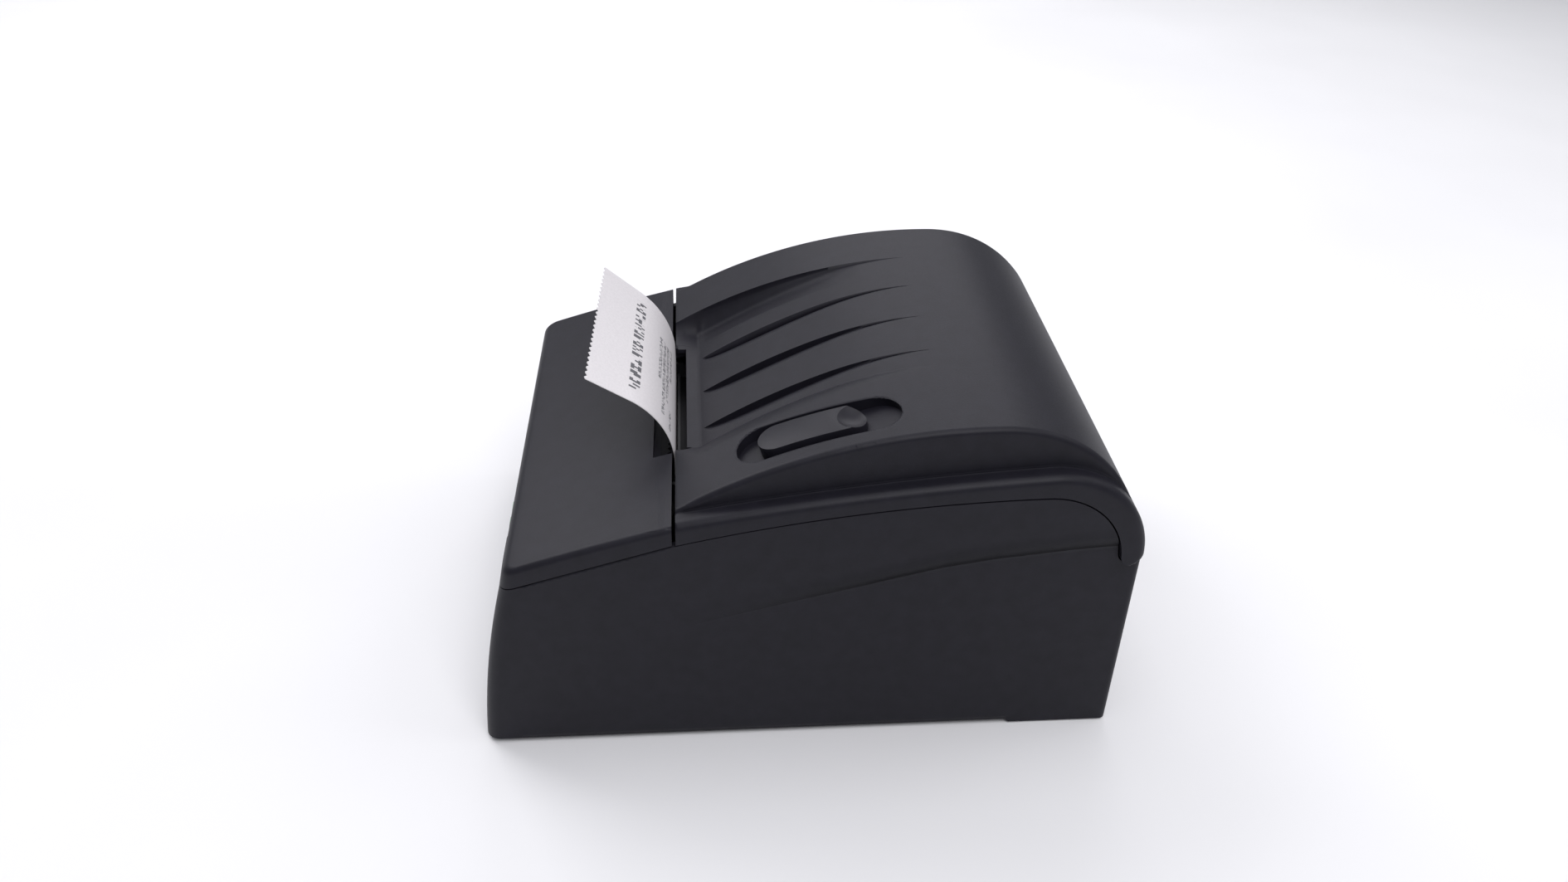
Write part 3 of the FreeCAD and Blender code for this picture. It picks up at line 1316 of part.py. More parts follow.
def coil(name, length):
    """A compression spring whose wire begins at its own origin."""
    height = length.value - wire_radius.value * 2
    helix = Part.makeHelix(height / spring_turns.value, height, spring_radius.value)
    corners = []
    for number in range(WIRE_FLATS):
        turn = math.tau * number / WIRE_FLATS
        corners.append(V(spring_radius.value + wire_radius.value * math.cos(turn), 0,
                         wire_radius.value * math.sin(turn)))
    wire = Part.makePolygon(corners + corners[:1])
    return shaped(name, Part.Wire(helix).makePipeShell([wire], True, True))


head_springs = keep(group("head_springs", *[
    place(coil("head_spring_" + label, spring_length), side * (slot_half - head_arm_width / 2), spring_y,
          arm_top + wire_radius)
    for label, side in SIDES.items()]))

# Release: the sliding button, its latch hook and spring, and the keeper on the deck
crown = rod("button_crown", "x", (button_offset - button_width, arch_centre.x, arch_centre.y),
            button_width * 2,
            arch_radius + button_proud)
button_block = on_slope(prism("button_block", "XY_Plane", oval(button_width, button_length),
                              -recess_depth + run_gap, recess_depth + button_proud + wall))
button_body = common("button_body", button_block, crown)
scoop = doc.addObject("Part::Sphere", "scoop")
scoop.setExpression("Radius", scoop_radius.text)
on_slope(scoop, button_length / 2 - scoop_depth / 2, scoop_radius - scoop_depth)
stem_low = -recess_depth - wall - run_gap
stem = slope_box("stem", (-(stem_width / 2), stem_width / 2), (-(stem_length / 2), stem_length / 2),
                 (stem_low, -recess_depth + run_gap * 2))
release_button = keep(fused("release_button", cut("button_scooped", button_body, scoop), stem))
keeper_y = button_y - latch_setback
nose_top = deck_top + latch_rise
arm_y = keeper_y - latch_catch - latch_thickness - release_travel
hook_x = (button_offset - latch_width / 2, button_offset + latch_width / 2)
hook_reach = (button_y - arm_y) / slope_along
hook_plate = slope_box("hook_plate", (-(latch_width / 2), latch_width / 2),
                       (-hook_reach - stem_low * slope_up, stem_length / 2),
                       (stem_low - latch_thickness, stem_low))
hook_top = button_z - hook_reach * slope_up + stem_low
hook_arm = box("hook_arm", hook_x, (arm_y, arm_y + latch_thickness),
               (nose_top - latch_thickness, hook_top - latch_thickness / 2))
hook_nose = box("hook_nose", hook_x, (arm_y, keeper_y + latch_catch), (nose_top - latch_thickness, nose_top))
latch_hook = keep(fused("latch_hook", hook_plate, hook_arm, hook_nose))
keeper_top = nose_top + run_gap + latch_thickness
keeper_x = (button_offset - latch_width, button_offset + latch_width)
keeper_ledge = box("keeper_ledge", keeper_x, (keeper_y, keeper_y + latch_width),
                   (nose_top + run_gap, keeper_top))
keeper_post = box("keeper_post", keeper_x, (keeper_y + latch_width - latch_thickness, keeper_y + latch_width),
                  (deck_top, keeper_top))
latch_keeper = keep(fused("latch_keeper", keeper_ledge, keeper_post))

# Main board and the sockets in the rear niche
board = box("board", (-board_x, board_x), (board_rear - board_length, board_rear),
            (plate_top + board_lift, board_top))
main_board = keep(cut("main_board", board, *board_cuts))
socket_front = niche_y - socket_length
socket_rear = niche_y + run_gap * 2
shells = {}
for label, (offset, width, height) in SOCKETS.items():
    shells[label] = box(label + "_shell", (offset - width / 2, offset + width / 2),
                        (socket_front, socket_rear),
                        (board_top, board_top + height))
jack_centre = board_top + jack_height / 2
jack_bore = rod("jack_bore", "y", (jack_offset, socket_rear - socket_depth, jack_centre),
                socket_length, jack_bore_radius)
jack_pin = rod("jack_pin", "y", (jack_offset, socket_front + wall, jack_centre), socket_length - wall * 1.5,
               jack_pin_radius)
power_jack = keep(fused("power_jack", cut("jack_open", shells["power_jack"], jack_bore), jack_pin))


def hollow_port(label, rim, tongue_height):
    """A port shell with a square opening and a contact tongue."""
    offset, width, height = SOCKETS[label]
    x = (offset - width / 2 + rim, offset + width / 2 - rim)
    opening = box(label + "_opening", x, (socket_rear - socket_depth, socket_rear + wall),
                  (board_top + rim, board_top + height - rim))
    tongue = box(label + "_tongue", (x[0] + rim, x[1] - rim), (socket_front + wall, socket_rear - rim),
                 (board_top + height / 2 - tongue_height / 2, board_top + height / 2 + tongue_height / 2))
    return keep(fused(label, cut(label + "_open", shells[label], opening), tongue))


data_port = hollow_port("data_port", port_rim, port_tongue)
drawer_x = (drawer_offset - drawer_width / 2 + port_rim, drawer_offset + drawer_width / 2 - port_rim)
drawer_opening = box("drawer_opening", drawer_x, (socket_rear - drawer_depth, socket_rear + wall),
                     (board_top + port_rim, board_top + drawer_height - drawer_shelf))
drawer_clip = box("drawer_clip", (drawer_offset - port_tongue, drawer_offset + port_tongue),
                  (socket_rear - drawer_depth, socket_rear + wall),
                  (board_top + port_rim * 2, board_top + drawer_height - port_rim))
drawer_port = keep(cut("drawer_port", shells["drawer_port"], drawer_opening, drawer_clip))

# Power switch in the niche: a flanged frame and a rocker on two stub axles
flange_rear = niche_y + switch_flange_thickness
frame_block = box("switch_block", switch_x, (niche_y - switch_depth, niche_y + switch_flange_thickness / 2),
                  switch_z)
frame_flange = box("switch_flange_plate", (switch_x[0] - switch_flange, switch_x[1] + switch_flange),
                   (niche_y, flange_rear),
                   (switch_z[0] - switch_flange, switch_z[1] + switch_flange))
rocker_room = box("rocker_room", (switch_x[0] + switch_flange, switch_x[1] - switch_flange),
                  (niche_y - switch_pocket, flange_rear + wall), (switch_z[0] + switch_flange,
                                                                       switch_z[1] - switch_flange))
rocker_y = niche_y - switch_flange
axle_start = switch_x[0] + switch_flange / 2
axle_length = switch_width - switch_flange
axle_hole = rod("axle_hole", "x", (axle_start, rocker_y, switch_centre_height), axle_length,
                axle_radius + bore_gap)
power_switch_frame = keep(cut("power_switch_frame", fused("switch_full", frame_block, frame_flange),
                              rocker_room, axle_hole))
rocker_half = switch_height / 2 - rocker_margin
rocker_body = prism("rocker_body", "YZ_Plane", [
    Edge(-axle_radius * 4, -axle_radius * 2), Edge(axle_radius, -rocker_half), Edge(rocker_rise,
                                                                                    -rocker_half),
    Edge(axle_radius * 2, 0), Edge(rocker_rise, rocker_half), Edge(axle_radius, rocker_half),
    Edge(-axle_radius * 4, axle_radius * 2)],
    -(switch_width / 2) + switch_flange + run_gap, switch_width - switch_flange * 2 - run_gap * 2)
turned(rocker_body, -rocker_tilt.value, switch_offset, rocker_y, switch_centre_height)
rocker_axle = rod("rocker_axle", "x", (axle_start + bore_gap, rocker_y, switch_centre_height),
                  axle_length - bore_gap * 2,
                  axle_radius)
power_rocker = keep(fused("power_rocker", rocker_body, rocker_axle))

# Feed button, status lenses and their board behind the front wall
feed_body = through_panel("feed_body", oval(feed_width, feed_height), feed_proud, wall + run_gap * 2,
                          feed_offset)
feed_rim = prism("feed_rim", "XZ_Plane", oval(feed_width + feed_collar * 2, feed_height + feed_collar * 2),
                 -wall - run_gap - feed_collar, feed_collar)
turned(feed_rim, -panel_lean, feed_offset, panel_y, panel_height)
feed_button = keep(fused("feed_button", feed_body, feed_rim))
switch_face = wall + run_gap + feed_collar + feed_travel + bore_gap


def behind_panel(name, width, height, first, last, sideways):
    """A plain block square to the leaning front, between two depths inside it."""
    a, b = as_size(width) / 2, as_size(height) / 2
    item = prism(name, "XZ_Plane", [Edge(-a, -b), Edge(a, -b), Edge(a, b), Edge(-a, b)], -as_size(last),
                 last - first)
    return turned(item, -panel_lean, sideways, panel_y, panel_height)


feed_switch = keep(behind_panel("feed_switch", feed_height, feed_height, switch_face, panel_board_gap,
                                feed_offset))
panel_board = keep(behind_panel("panel_board", panel_board_width, panel_board_height, panel_board_gap,
                                panel_board_gap + panel_board_thickness, panel_middle))
lenses = []
for number in (0, 1):
    body = prism("lens_%d" % number, "XZ_Plane", oval(lens_radius * 2, lens_radius * 2 + TOUCH),
                 -panel_board_gap,
                 panel_board_gap + run_gap)
    lenses.append(turned(body, -panel_lean, lens_offset - lens_pitch * number, panel_y, panel_height))
status_lenses = keep(group("status_lenses", *lenses))
hinge_pins = keep(group("hinge_pins", *[
    rod("hinge_pin_" + label, "x", (side * knuckle_offset - hinge_pin_length / 2, hinge_y, hinge_height),
        hinge_pin_length,
        hinge_pin_radius) for label, side in SIDES.items()]))

# Every object is checked, then each sub-part is written
doc.recompute()
for item in doc.Objects:
    if "Invalid" in item.State or "Error" in item.State:
        raise ValueError("%s does not build: %s" % (item.Label, item.State))
for item in sub_parts:
    if item.Shape.isNull() or not item.Shape.isValid() or not item.Shape.Solids:
        raise ValueError("%s has no sound shape" % item.Label)
os.makedirs("parts", exist_ok=True)
for item in sub_parts:
    item.Shape.exportStep("parts/%s.step" % item.Label)
print(len(sub_parts), "sub-parts written")
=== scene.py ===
import json
import logging
import math
from contextlib import contextmanager
from dataclasses import dataclass
from enum import Enum
from functools import reduce
from typing import Dict, Iterator, List, Sequence, Tuple

import bmesh
import bpy
import numpy as np
from mathutils import Matrix, Vector
from mathutils.bvhtree import BVHTree

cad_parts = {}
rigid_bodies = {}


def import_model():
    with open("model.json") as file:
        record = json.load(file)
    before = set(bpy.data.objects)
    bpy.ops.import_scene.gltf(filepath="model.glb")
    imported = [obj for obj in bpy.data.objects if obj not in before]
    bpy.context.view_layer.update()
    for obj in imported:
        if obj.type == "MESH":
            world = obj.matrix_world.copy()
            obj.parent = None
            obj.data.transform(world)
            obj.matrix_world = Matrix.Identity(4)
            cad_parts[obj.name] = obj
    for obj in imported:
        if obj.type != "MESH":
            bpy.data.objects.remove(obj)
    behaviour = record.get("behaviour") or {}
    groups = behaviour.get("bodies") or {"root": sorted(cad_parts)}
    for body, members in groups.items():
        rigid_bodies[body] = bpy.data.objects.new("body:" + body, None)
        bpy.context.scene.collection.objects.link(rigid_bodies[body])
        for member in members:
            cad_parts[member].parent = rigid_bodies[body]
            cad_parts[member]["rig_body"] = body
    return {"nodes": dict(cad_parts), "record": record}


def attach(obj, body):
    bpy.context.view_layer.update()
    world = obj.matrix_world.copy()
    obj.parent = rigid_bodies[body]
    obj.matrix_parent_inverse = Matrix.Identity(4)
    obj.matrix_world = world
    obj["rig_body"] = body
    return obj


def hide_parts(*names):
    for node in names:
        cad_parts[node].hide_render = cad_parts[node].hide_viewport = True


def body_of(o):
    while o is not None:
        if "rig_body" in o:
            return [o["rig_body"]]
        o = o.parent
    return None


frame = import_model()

Point = Tuple[float, float]
Spot = Tuple[float, float, float]
Socket = bpy.types.NodeSocket
Item = bpy.types.Object
Material = bpy.types.Material

LOG = logging.getLogger("receipt_printer")
MM = 0.001
DOUBLES = 1e-7  # metres within which points of a new mesh are one
WELD = 2e-6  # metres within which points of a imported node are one
SKIN_GAP = 0.05  # millimetres within which a face still lies on a casing's smooth form
MAP_UNIT = 100.0  # millimetres in one unit of the receipt's map
ROLL_CENTRE = (31.5, 44.8)
FLANK_LINE = ((-40.0, 41.0), (-6.6, 49.1), (16.1, 54.3), (36.3, 59.5), (49.9, 61.9), (72.8, 64.7), (95.0, 66.5))


class Shade(str, Enum):
    """Shader node types that the finishes use."""

    COORDS = "ShaderNodeTexCoord"
    NOISE = "ShaderNodeTexNoise"
    VORONOI = "ShaderNodeTexVoronoi"
    RAMP = "ShaderNodeValToRGB"
    BUMP = "ShaderNodeBump"
    MATH = "ShaderNodeMath"
    MIX = "ShaderNodeMix"
    SPLIT = "ShaderNodeSeparateXYZ"
    JOIN = "ShaderNodeCombineXYZ"
    WHITE = "ShaderNodeTexWhiteNoise"
    RANGE = "ShaderNodeMapRange"


class Geo(str, Enum):
    """Geometry node types that the tear bar uses."""

    INPUT = "NodeGroupInput"
    OUTPUT = "NodeGroupOutput"
    LINE = "GeometryNodeMeshLine"
    PRISM = "GeometryNodeMeshCylinder"
    BLOCK = "GeometryNodeMeshCube"
    MOVE = "GeometryNodeTransform"
    SPREAD = "GeometryNodeInstanceOnPoints"
    UNITE = "GeometryNodeJoinGeometry"
    REALIZE = "GeometryNodeRealizeInstances"
    PAINT = "GeometryNodeSetMaterial"


@dataclass(frozen=True)
class Arc:
    """A circular arc in the side view, bulging upwards between a front and a rear end, in millimetres."""

    start: Point
    end: Point
    radius: float

    @property
    def centre(self) -> Point:
        """Centre of the circle.

        Returns:
            Its depth and height.
        """
        run, rise = self.end[0] - self.start[0], self.end[1] - self.start[1]
        chord = math.hypot(run, rise)
        drop = math.sqrt(max(self.radius ** 2 - chord ** 2 / 4, 0.0))
        return ((self.start[0] + self.end[0]) / 2 + rise / chord * drop,
                (self.start[1] + self.end[1]) / 2 - run / chord * drop)

    def height(self, depth: float) -> float:
        """Height of the arc over a depth."""
        middle, low = self.centre
        return low + math.sqrt(max(self.radius ** 2 - (depth - middle) ** 2, 0.0))

    def reach(self, origin: Point, way: Point) -> float:
        """Far distance along a ray to the circle.

        Args:
            origin: Where the ray starts.
            way: Unit direction of the ray.

        Returns:
            Length of the ray to the far side of the circle.
        """
        middle, low = self.centre
        dy, dz = origin[0] - middle, origin[1] - low
        along = dy * way[0] + dz * way[1]
        return -along + math.sqrt(max(along ** 2 - (dy ** 2 + dz ** 2 - self.radius ** 2), 0.0))


def quarter(steps: int) -> List[Point]:
    """Sine and cosine at even steps through a quarter turn."""
    turns = [math.pi / 2 * step / steps for step in range(steps + 1)]
    return [(math.sin(turn), math.cos(turn)) for turn in turns]


def spaced(runs: Sequence[Spot]) -> np.ndarray:
    """Places at even steps, by the first place, the end and the step of each run."""
    return np.concatenate([np.arange(*run) for run in runs])


def wedge(run: np.ndarray) -> np.ndarray:
    """A drop that starts sharply at zero and runs out at one."""
    return np.where(run >= 0.0, np.maximum(1.0 - run, 0.0), 0.0)


@contextmanager
def edited(mesh: bpy.types.Mesh) -> Iterator[bmesh.types.BMesh]:
    """Opens a mesh for editing and writes it back.

    Args:
        mesh: The mesh.

    Yields:
        Its editable form.
    """
    work = bmesh.new()
    work.from_mesh(mesh)
    yield work
    work.to_mesh(mesh)
    work.free()


def placed(name: str, data: bpy.types.ID) -> Item:
    """Makes an object and puts it into the scene.

    Args:
        name: Name of the object.
        data: Its mesh, lamp or camera.

    Returns:
        The object.
    """
    item = bpy.data.objects.new(name, data)
    bpy.context.scene.collection.objects.link(item)
    return item


def discard(item: Item) -> None:
    """Removes an object together with its mesh."""
    mesh = item.data
    bpy.data.objects.remove(item)
    bpy.data.meshes.remove(mesh)


def mesh_object(name: str, points: Sequence[Spot], faces: Sequence[Sequence[int]]) -> Item:
    """Makes a mesh object from millimetres.

    Args:
        name: Name of the object.
        points: Points in millimetres.
        faces: Corner numbers of each face.

    Returns:
        The linked object, with its normals turned outwards.
    """
    mesh = bpy.data.meshes.new(name)
    mesh.from_pydata([tuple(c * MM for c in p) for p in points], [], [tuple(f) for f in faces])
    with edited(mesh) as work:
        bmesh.ops.remove_doubles(work, verts=work.verts, dist=DOUBLES)
        bmesh.ops.recalc_face_normals(work, faces=work.faces)
    return placed(name, mesh)


def tube_faces(rows: int, columns: int) -> List[List[int]]:
    """Faces of closed rings joined one to the next, with a cap at both ends.

    Args:
        rows: Number of rings.
        columns: Points in each ring.

    Returns:
        Corner numbers of each face.
    """
    faces = []
    for row in range(0, (rows - 1) * columns, columns):
        for column in range(columns):
            after = (column + 1) % columns
            faces.append([row + column, row + after, row + columns + after, row + columns + column])
    faces.append(list(range(columns)))
    faces.append([(rows - 1) * columns + column for column in range(columns)])
    return faces


def lofted(name: str, rings: Sequence[Sequence[Spot]]) -> Item:
    """A closed form through rings of points."""
    points = [point for ring in rings for point in ring]
    return mesh_object(name, points, tube_faces(len(rings), len(rings[0])))


def smooth(item: Item, degrees: float = 30.0) -> Item:
    """Shades an object smooth, with sharp edges over an angle.

    Args:
        item: The object.
        degrees: Smallest angle of a sharp edge.

    Returns:
        The same object.
    """
    item.data.shade_smooth()
    item.data.set_sharp_from_angle(angle=math.radians(degrees))
    return item


def plain_mesh(item: Item, name: str) -> Item:
    """Turns an object with modifiers into a plain mesh object.

    Args:
        item: The object, which is removed.
        name: Name of the new object.

    Returns:
        The new object.
    """
    bpy.context.view_layer.update()
    graph = bpy.context.evaluated_depsgraph_get()
    mesh = bpy.data.meshes.new_from_object(item.evaluated_get(graph))
    mesh.name = name
    discard(item)
    return placed(name, mesh)


def solid_copy(node: str) -> Item:
    """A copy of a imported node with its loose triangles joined.

    Args:
        node: Name of the node.

    Returns:
        The copy.
    """
    mesh = frame["nodes"][node].data.copy()
    with edited(mesh) as work:
        bmesh.ops.remove_doubles(work, verts=work.verts, dist=WELD)
        bmesh.ops.dissolve_degenerate(work, edges=work.edges, dist=DOUBLES)
    return placed(node + "_copy", mesh)


def trimmed(blank: Item, node: str, name: str) -> Item:
    """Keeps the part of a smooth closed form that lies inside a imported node.

    Args:
        blank: The smooth form, which is used up.
        node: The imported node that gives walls, openings and edges.
        name: Name of the finished piece.

    Returns:
        The finished piece, smooth where the form shows and flat on the node's own walls.
    """
    skin = BVHTree.FromPolygons([v.co for v in blank.data.vertices], [f.vertices for f in blank.data.polygons])
    cutter = solid_copy(node)
    change = blank.modifiers.new("trim", "BOOLEAN")
    change.operation = "INTERSECT"
    change.solver = "EXACT"
    change.object = cutter
    made = plain_mesh(blank, name)
    discard(cutter)
    made.data.materials.clear()
    smooth(made)
    for face in made.data.polygons:
        face.use_smooth = skin.find_nearest(face.center)[3] < SKIN_GAP * MM
    return made


@dataclass
class Piece:
    """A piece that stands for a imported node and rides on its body."""

    finish: Material
    node: str = ""
    slot: str = "casing"

    def shape(self) -> Item:
        """Makes the bare piece, which each kind does in its own way."""
        raise NotImplementedError

    def build(self) -> None:
        """Makes the piece, dresses it unless its shape came dressed, ties it to its body and reports it."""
        piece = self.shape()
        if not piece.data.materials:
            piece.data.materials.append(self.finish)
        body = body_of(frame["nodes"][self.node])[0]
        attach(piece, body)
        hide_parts(self.node)
        LOG.info("%s rides on %s", piece.name, body)


class Nodes:
    """Adds the nodes of a tree and joins them."""

    def __init__(self, tree: bpy.types.NodeTree) -> None:
        """Takes up a tree."""
        self.tree = tree

    def put(self, value: object, target: Socket) -> None:
        """Joins a socket to an input, or sets the input to a plain value.

        Args:
            value: The socket or the value.
            target: The input.
        """
        if isinstance(value, Socket):
            self.tree.links.new(value, target)
        else:
            target.default_value = value

    def add(self, kind: Enum, **values: object) -> bpy.types.Node:
        """Adds a node.

        Args:
            kind: Node type.
            values: Node properties, or values and sockets for inputs by name, with underscores for spaces.

        Returns:
            The node.
        """
        node = self.tree.nodes.new(kind.value)
        for key, value in values.items():
            if hasattr(node, key):
                setattr(node, key, value)
            else:
                self.put(value, node.inputs[key.replace("_", " ")])
        return node

    def sum(self, operation: str, one: object, other: object = 0.0) -> Socket:
        """A sum of two values or sockets.

        Args:
            operation: Name of the operation.
            one: First value or socket.
            other: Second value or socket, if the operation has one.

        Returns:
            The socket of the result.
        """
        node = self.add(Shade.MATH, operation=operation)
        for place, value in enumerate((one, other)):
            self.put(value, node.inputs[place])
        return node.outputs[0]


class NodeGraph(Nodes):
    """The nodes of a new material."""

    def __init__(self, name: str) -> None:
        """Makes the material."""
        self.material = bpy.data.materials.new(name)
        self.material.use_nodes = True
        super().__init__(self.material.node_tree)
        self.shader = self.tree.nodes["Principled BSDF"]

    def surface(self, **values: object) -> None:
        """Sets inputs of the shader, by name with underscores for spaces."""
        for key, value in values.items():
            self.put(value, self.shader.inputs[key.replace("_", " ")])

    def product(self, *values: object) -> Socket:
        """Multiplies values or sockets, the first by the second and so on."""
        return reduce(lambda one, other: self.sum("MULTIPLY", one, other), values)

    def within(self, value: Socket, low: float, high: float) -> Socket:
        """One where a value lies between two others."""
        return self.product(self.sum("GREATER_THAN", value, low), self.sum("LESS_THAN", value, high))

    def ramp(self, source: Socket, stops: Sequence[Tuple[float, Spot]]) -> Socket:
        """A colour ramp.

        Args:
            source: Factor of the ramp.
            stops: Places and colours.

        Returns:
            The colour socket.
        """
        node = self.add(Shade.RAMP)
        while len(node.color_ramp.elements) < len(stops):
            node.color_ramp.elements.new(0.5)
        for element, (place, colour) in zip(node.color_ramp.elements, stops):
            element.position = place
            element.color = (*colour, 1.0)
        self.put(source, node.inputs[0])
        return node.outputs[0]

    def curve(self, source: Socket, stops: Sequence[Point]) -> Socket:
        """A ramp of plain values."""
        return self.ramp(source, [(place, (level,) * 3) for place, level in stops])

    def blend(self, factor: object, one: object, other: object, kind: str = "MIX") -> Socket:
        """Mixes two colours.

        Args:
            factor: Share of the second colour.
            one: First colour or socket.
            other: Second colour or socket.
            kind: How they mix.

        Returns:
            The colour socket.
        """
        node = self.add(Shade.MIX, data_type="RGBA", blend_type=kind)
        for place, value in zip((0, 6, 7), (factor, one, other)):
            self.put(value, node.inputs[place])
        return node.outputs[2]

    def spot(self, source: str = "Object") -> Socket:
        """Place of a point on the object, or on its map."""
        return self.add(Shade.COORDS).outputs[source]

    def axes(self, source: str = "Object") -> Sequence[Socket]:
        """The three coordinates of a point on the object, or on its map."""
        return self.add(Shade.SPLIT, Vector=self.spot(source)).outputs

    def grain(self, scale: float, detail: float = 2.0) -> Socket:
        """Noise that is fixed to the object, by its spots in each metre and its finer layers."""
        return self.add(Shade.NOISE, Scale=scale, Detail=detail, Vector=self.spot()).outputs[0]

    def roughen(self, source: Socket, low: float, high: float) -> None:
        """Spreads the shader's roughness between two values."""
        self.surface(Roughness=self.add(Shade.RANGE, Value=source, To_Min=low, To_Max=high).outputs[0])

    def bump(self, height: Socket, strength: float, distance: float) -> None:
        """Bends the shader's normal by a share of a relief, whose full step is given in metres."""
        node = self.add(Shade.BUMP, Strength=strength, Distance=distance, Height=height)
        self.surface(Normal=node.outputs[0])


@dataclass(frozen=True)
class Finish:
    """A procedural material, which each kind of finish dresses in its own way."""

    name: str

    def dress(self, graph: NodeGraph) -> None:
        """Leaves a plain finish as it is."""

    def build(self) -> Material:
        """Makes the material.

        Returns:
            The material.
        """
        graph = NodeGraph(self.name)
        self.dress(graph)
        return graph.material


@dataclass(frozen=True)
class MouldedPlastic(Finish):
    """Spark-eroded moulded plastic with a slight mottle."""

    colour: Spot
    lift: float = 1.35
    rough: float = 0.5
    grain: float = 0.35
    specular: float = 0.5
    mottle_scale: float = 220.0
    mottle_stops: Point = (0.3, 0.72)
    grain_scale: float = 2600.0
    grain_height: float = 0.00006
    rough_spread: Point = (-0.05, 0.07)

    def dress(self, graph: NodeGraph) -> None:
        """Adds the mottle and the grain.

        Args:
            graph: The material's nodes.
        """
        lifted = tuple(min(c * self.lift, 1.0) for c in self.colour)
        mottle, fine = graph.grain(self.mottle_scale, 3.0), graph.grain(self.grain_scale)
        stops = list(zip(self.mottle_stops, (self.colour, lifted)))
        graph.surface(Base_Color=graph.ramp(mottle, stops), Specular_IOR_Level=self.specular)
        graph.roughen(fine, *(self.rough + spread for spread in self.rough_spread))
        graph.bump(fine, self.grain, self.grain_height)


@dataclass(frozen=True)
class ShadePaintedPlastic(MouldedPlastic):
    """The same plastic on the flanks, with painted shade: its colour and specular are darkened in a band just
    over the crease line.
    """

    line: Sequence[Point] = FLANK_LINE
    tuck: float = 8.0
    # strength of the painted shade in the band over the crease
    painted_shade: float = 0.62
    unit: float = 100.0
    flank: float = 66.0
    shade_band: Sequence[Point] = ((0.0, 0.0), (0.03, 1.0), (0.4, 0.42), (1.0, 0.0))
    fade: Sequence[Point] = ((0.0, 0.0), (0.45, 1.0))

    def dress(self, graph: NodeGraph) -> None:
        """Adds the band of painted shade to the plastic.

        Args:
            graph: The material's nodes.
        """
        super().dress(graph)
        x, y, z = graph.axes()
        first, run = self.line[0][0], self.line[-1][0] - self.line[0][0]
        share = graph.sum("DIVIDE", graph.sum("SUBTRACT", y, first * MM), run * MM)
        level = graph.curve(share, [((depth - first) / run, height / self.unit) for depth, height in self.line])
        above = graph.sum("SUBTRACT", graph.sum("DIVIDE", z, self.unit * MM), level)
        shade_band = graph.curve(graph.product(above, self.unit / self.tuck), self.shade_band)
        flank = graph.sum("GREATER_THAN", graph.sum("ABSOLUTE", x), self.flank * MM)
        # painted shade: colour and specular are multiplied down in the band over the crease, standing in for
        # shade there
        unshaded_share = graph.sum("SUBTRACT", 1.0, graph.product(shade_band, graph.curve(share, self.fade), flank, self.painted_shade))
        plain = graph.shader.inputs["Base Color"].links[0].from_socket
        graph.surface(Base_Color=graph.blend(1.0, plain, unshaded_share, "MULTIPLY"),
                      Specular_IOR_Level=graph.product(unshaded_share, self.specular))


@dataclass(frozen=True)
class BareMetal(Finish):
    """Drawn or milled metal with fine lines."""

    colour: Spot
    rough: float = 0.32
    lines: Spot = (40.0, 900.0, 900.0)
    shade: float = 0.82
    line_stops: Point = (0.3, 0.7)
    line_height: float = 0.00003
    line_strength: float = 0.2
    rough_spread: Point = (-0.08, 0.1)

    def dress(self, graph: NodeGraph) -> None:
        """Adds the lines.

        Args:
            graph: The material's nodes.
        """
        x, y, z = (graph.product(axis, scale) for axis, scale in zip(graph.axes(), self.lines))
        stretched = graph.add(Shade.JOIN, X=x, Y=y, Z=z).outputs[0]
        noise = graph.add(Shade.NOISE, Scale=1.0, Detail=3.0, Vector=stretched).outputs[0]
        dark = tuple(c * self.shade for c in self.colour)
        stops = list(zip(self.line_stops, (dark, self.colour)))
        graph.surface(Base_Color=graph.ramp(noise, stops), Metallic=1.0)
        graph.roughen(noise, *(self.rough + spread for spread in self.rough_spread))
        graph.bump(noise, self.line_strength, self.line_height)


@dataclass(frozen=True)
class SoftRubber(Finish):
    """Dull ground rubber."""

    colour: Spot
    lift: float = 1.6

    def dress(self, graph: NodeGraph) -> None:
        """Adds the ground surface.

        Args:
            graph: The material's nodes.
        """
        noise = graph.grain(900.0, 4.0)
        lifted = tuple(c * self.lift for c in self.colour)
        graph.surface(Base_Color=graph.ramp(noise, [(0.35, self.colour), (0.75, lifted)]), Roughness=0.82)
        graph.bump(noise, 0.4, 0.0001)


@dataclass(frozen=True)
class CircuitBoard(Finish):
    """Solder mask over glass cloth, with lighter copper runs."""

    mask: Spot = (0.006, 0.07, 0.025)
    copper: Spot = (0.012, 0.14, 0.05)

    def dress(self, graph: NodeGraph) -> None:
        """Adds the copper runs.

        Args:
            graph: The material's nodes.
        """
        cells = graph.add(Shade.VORONOI, Scale=240.0, Vector=graph.spot()).outputs["Distance"]
        graph.surface(Base_Color=graph.ramp(cells, [(0.2, self.copper), (0.45, self.mask)]), Roughness=0.34)
        graph.bump(cells, 0.15, 0.00005)


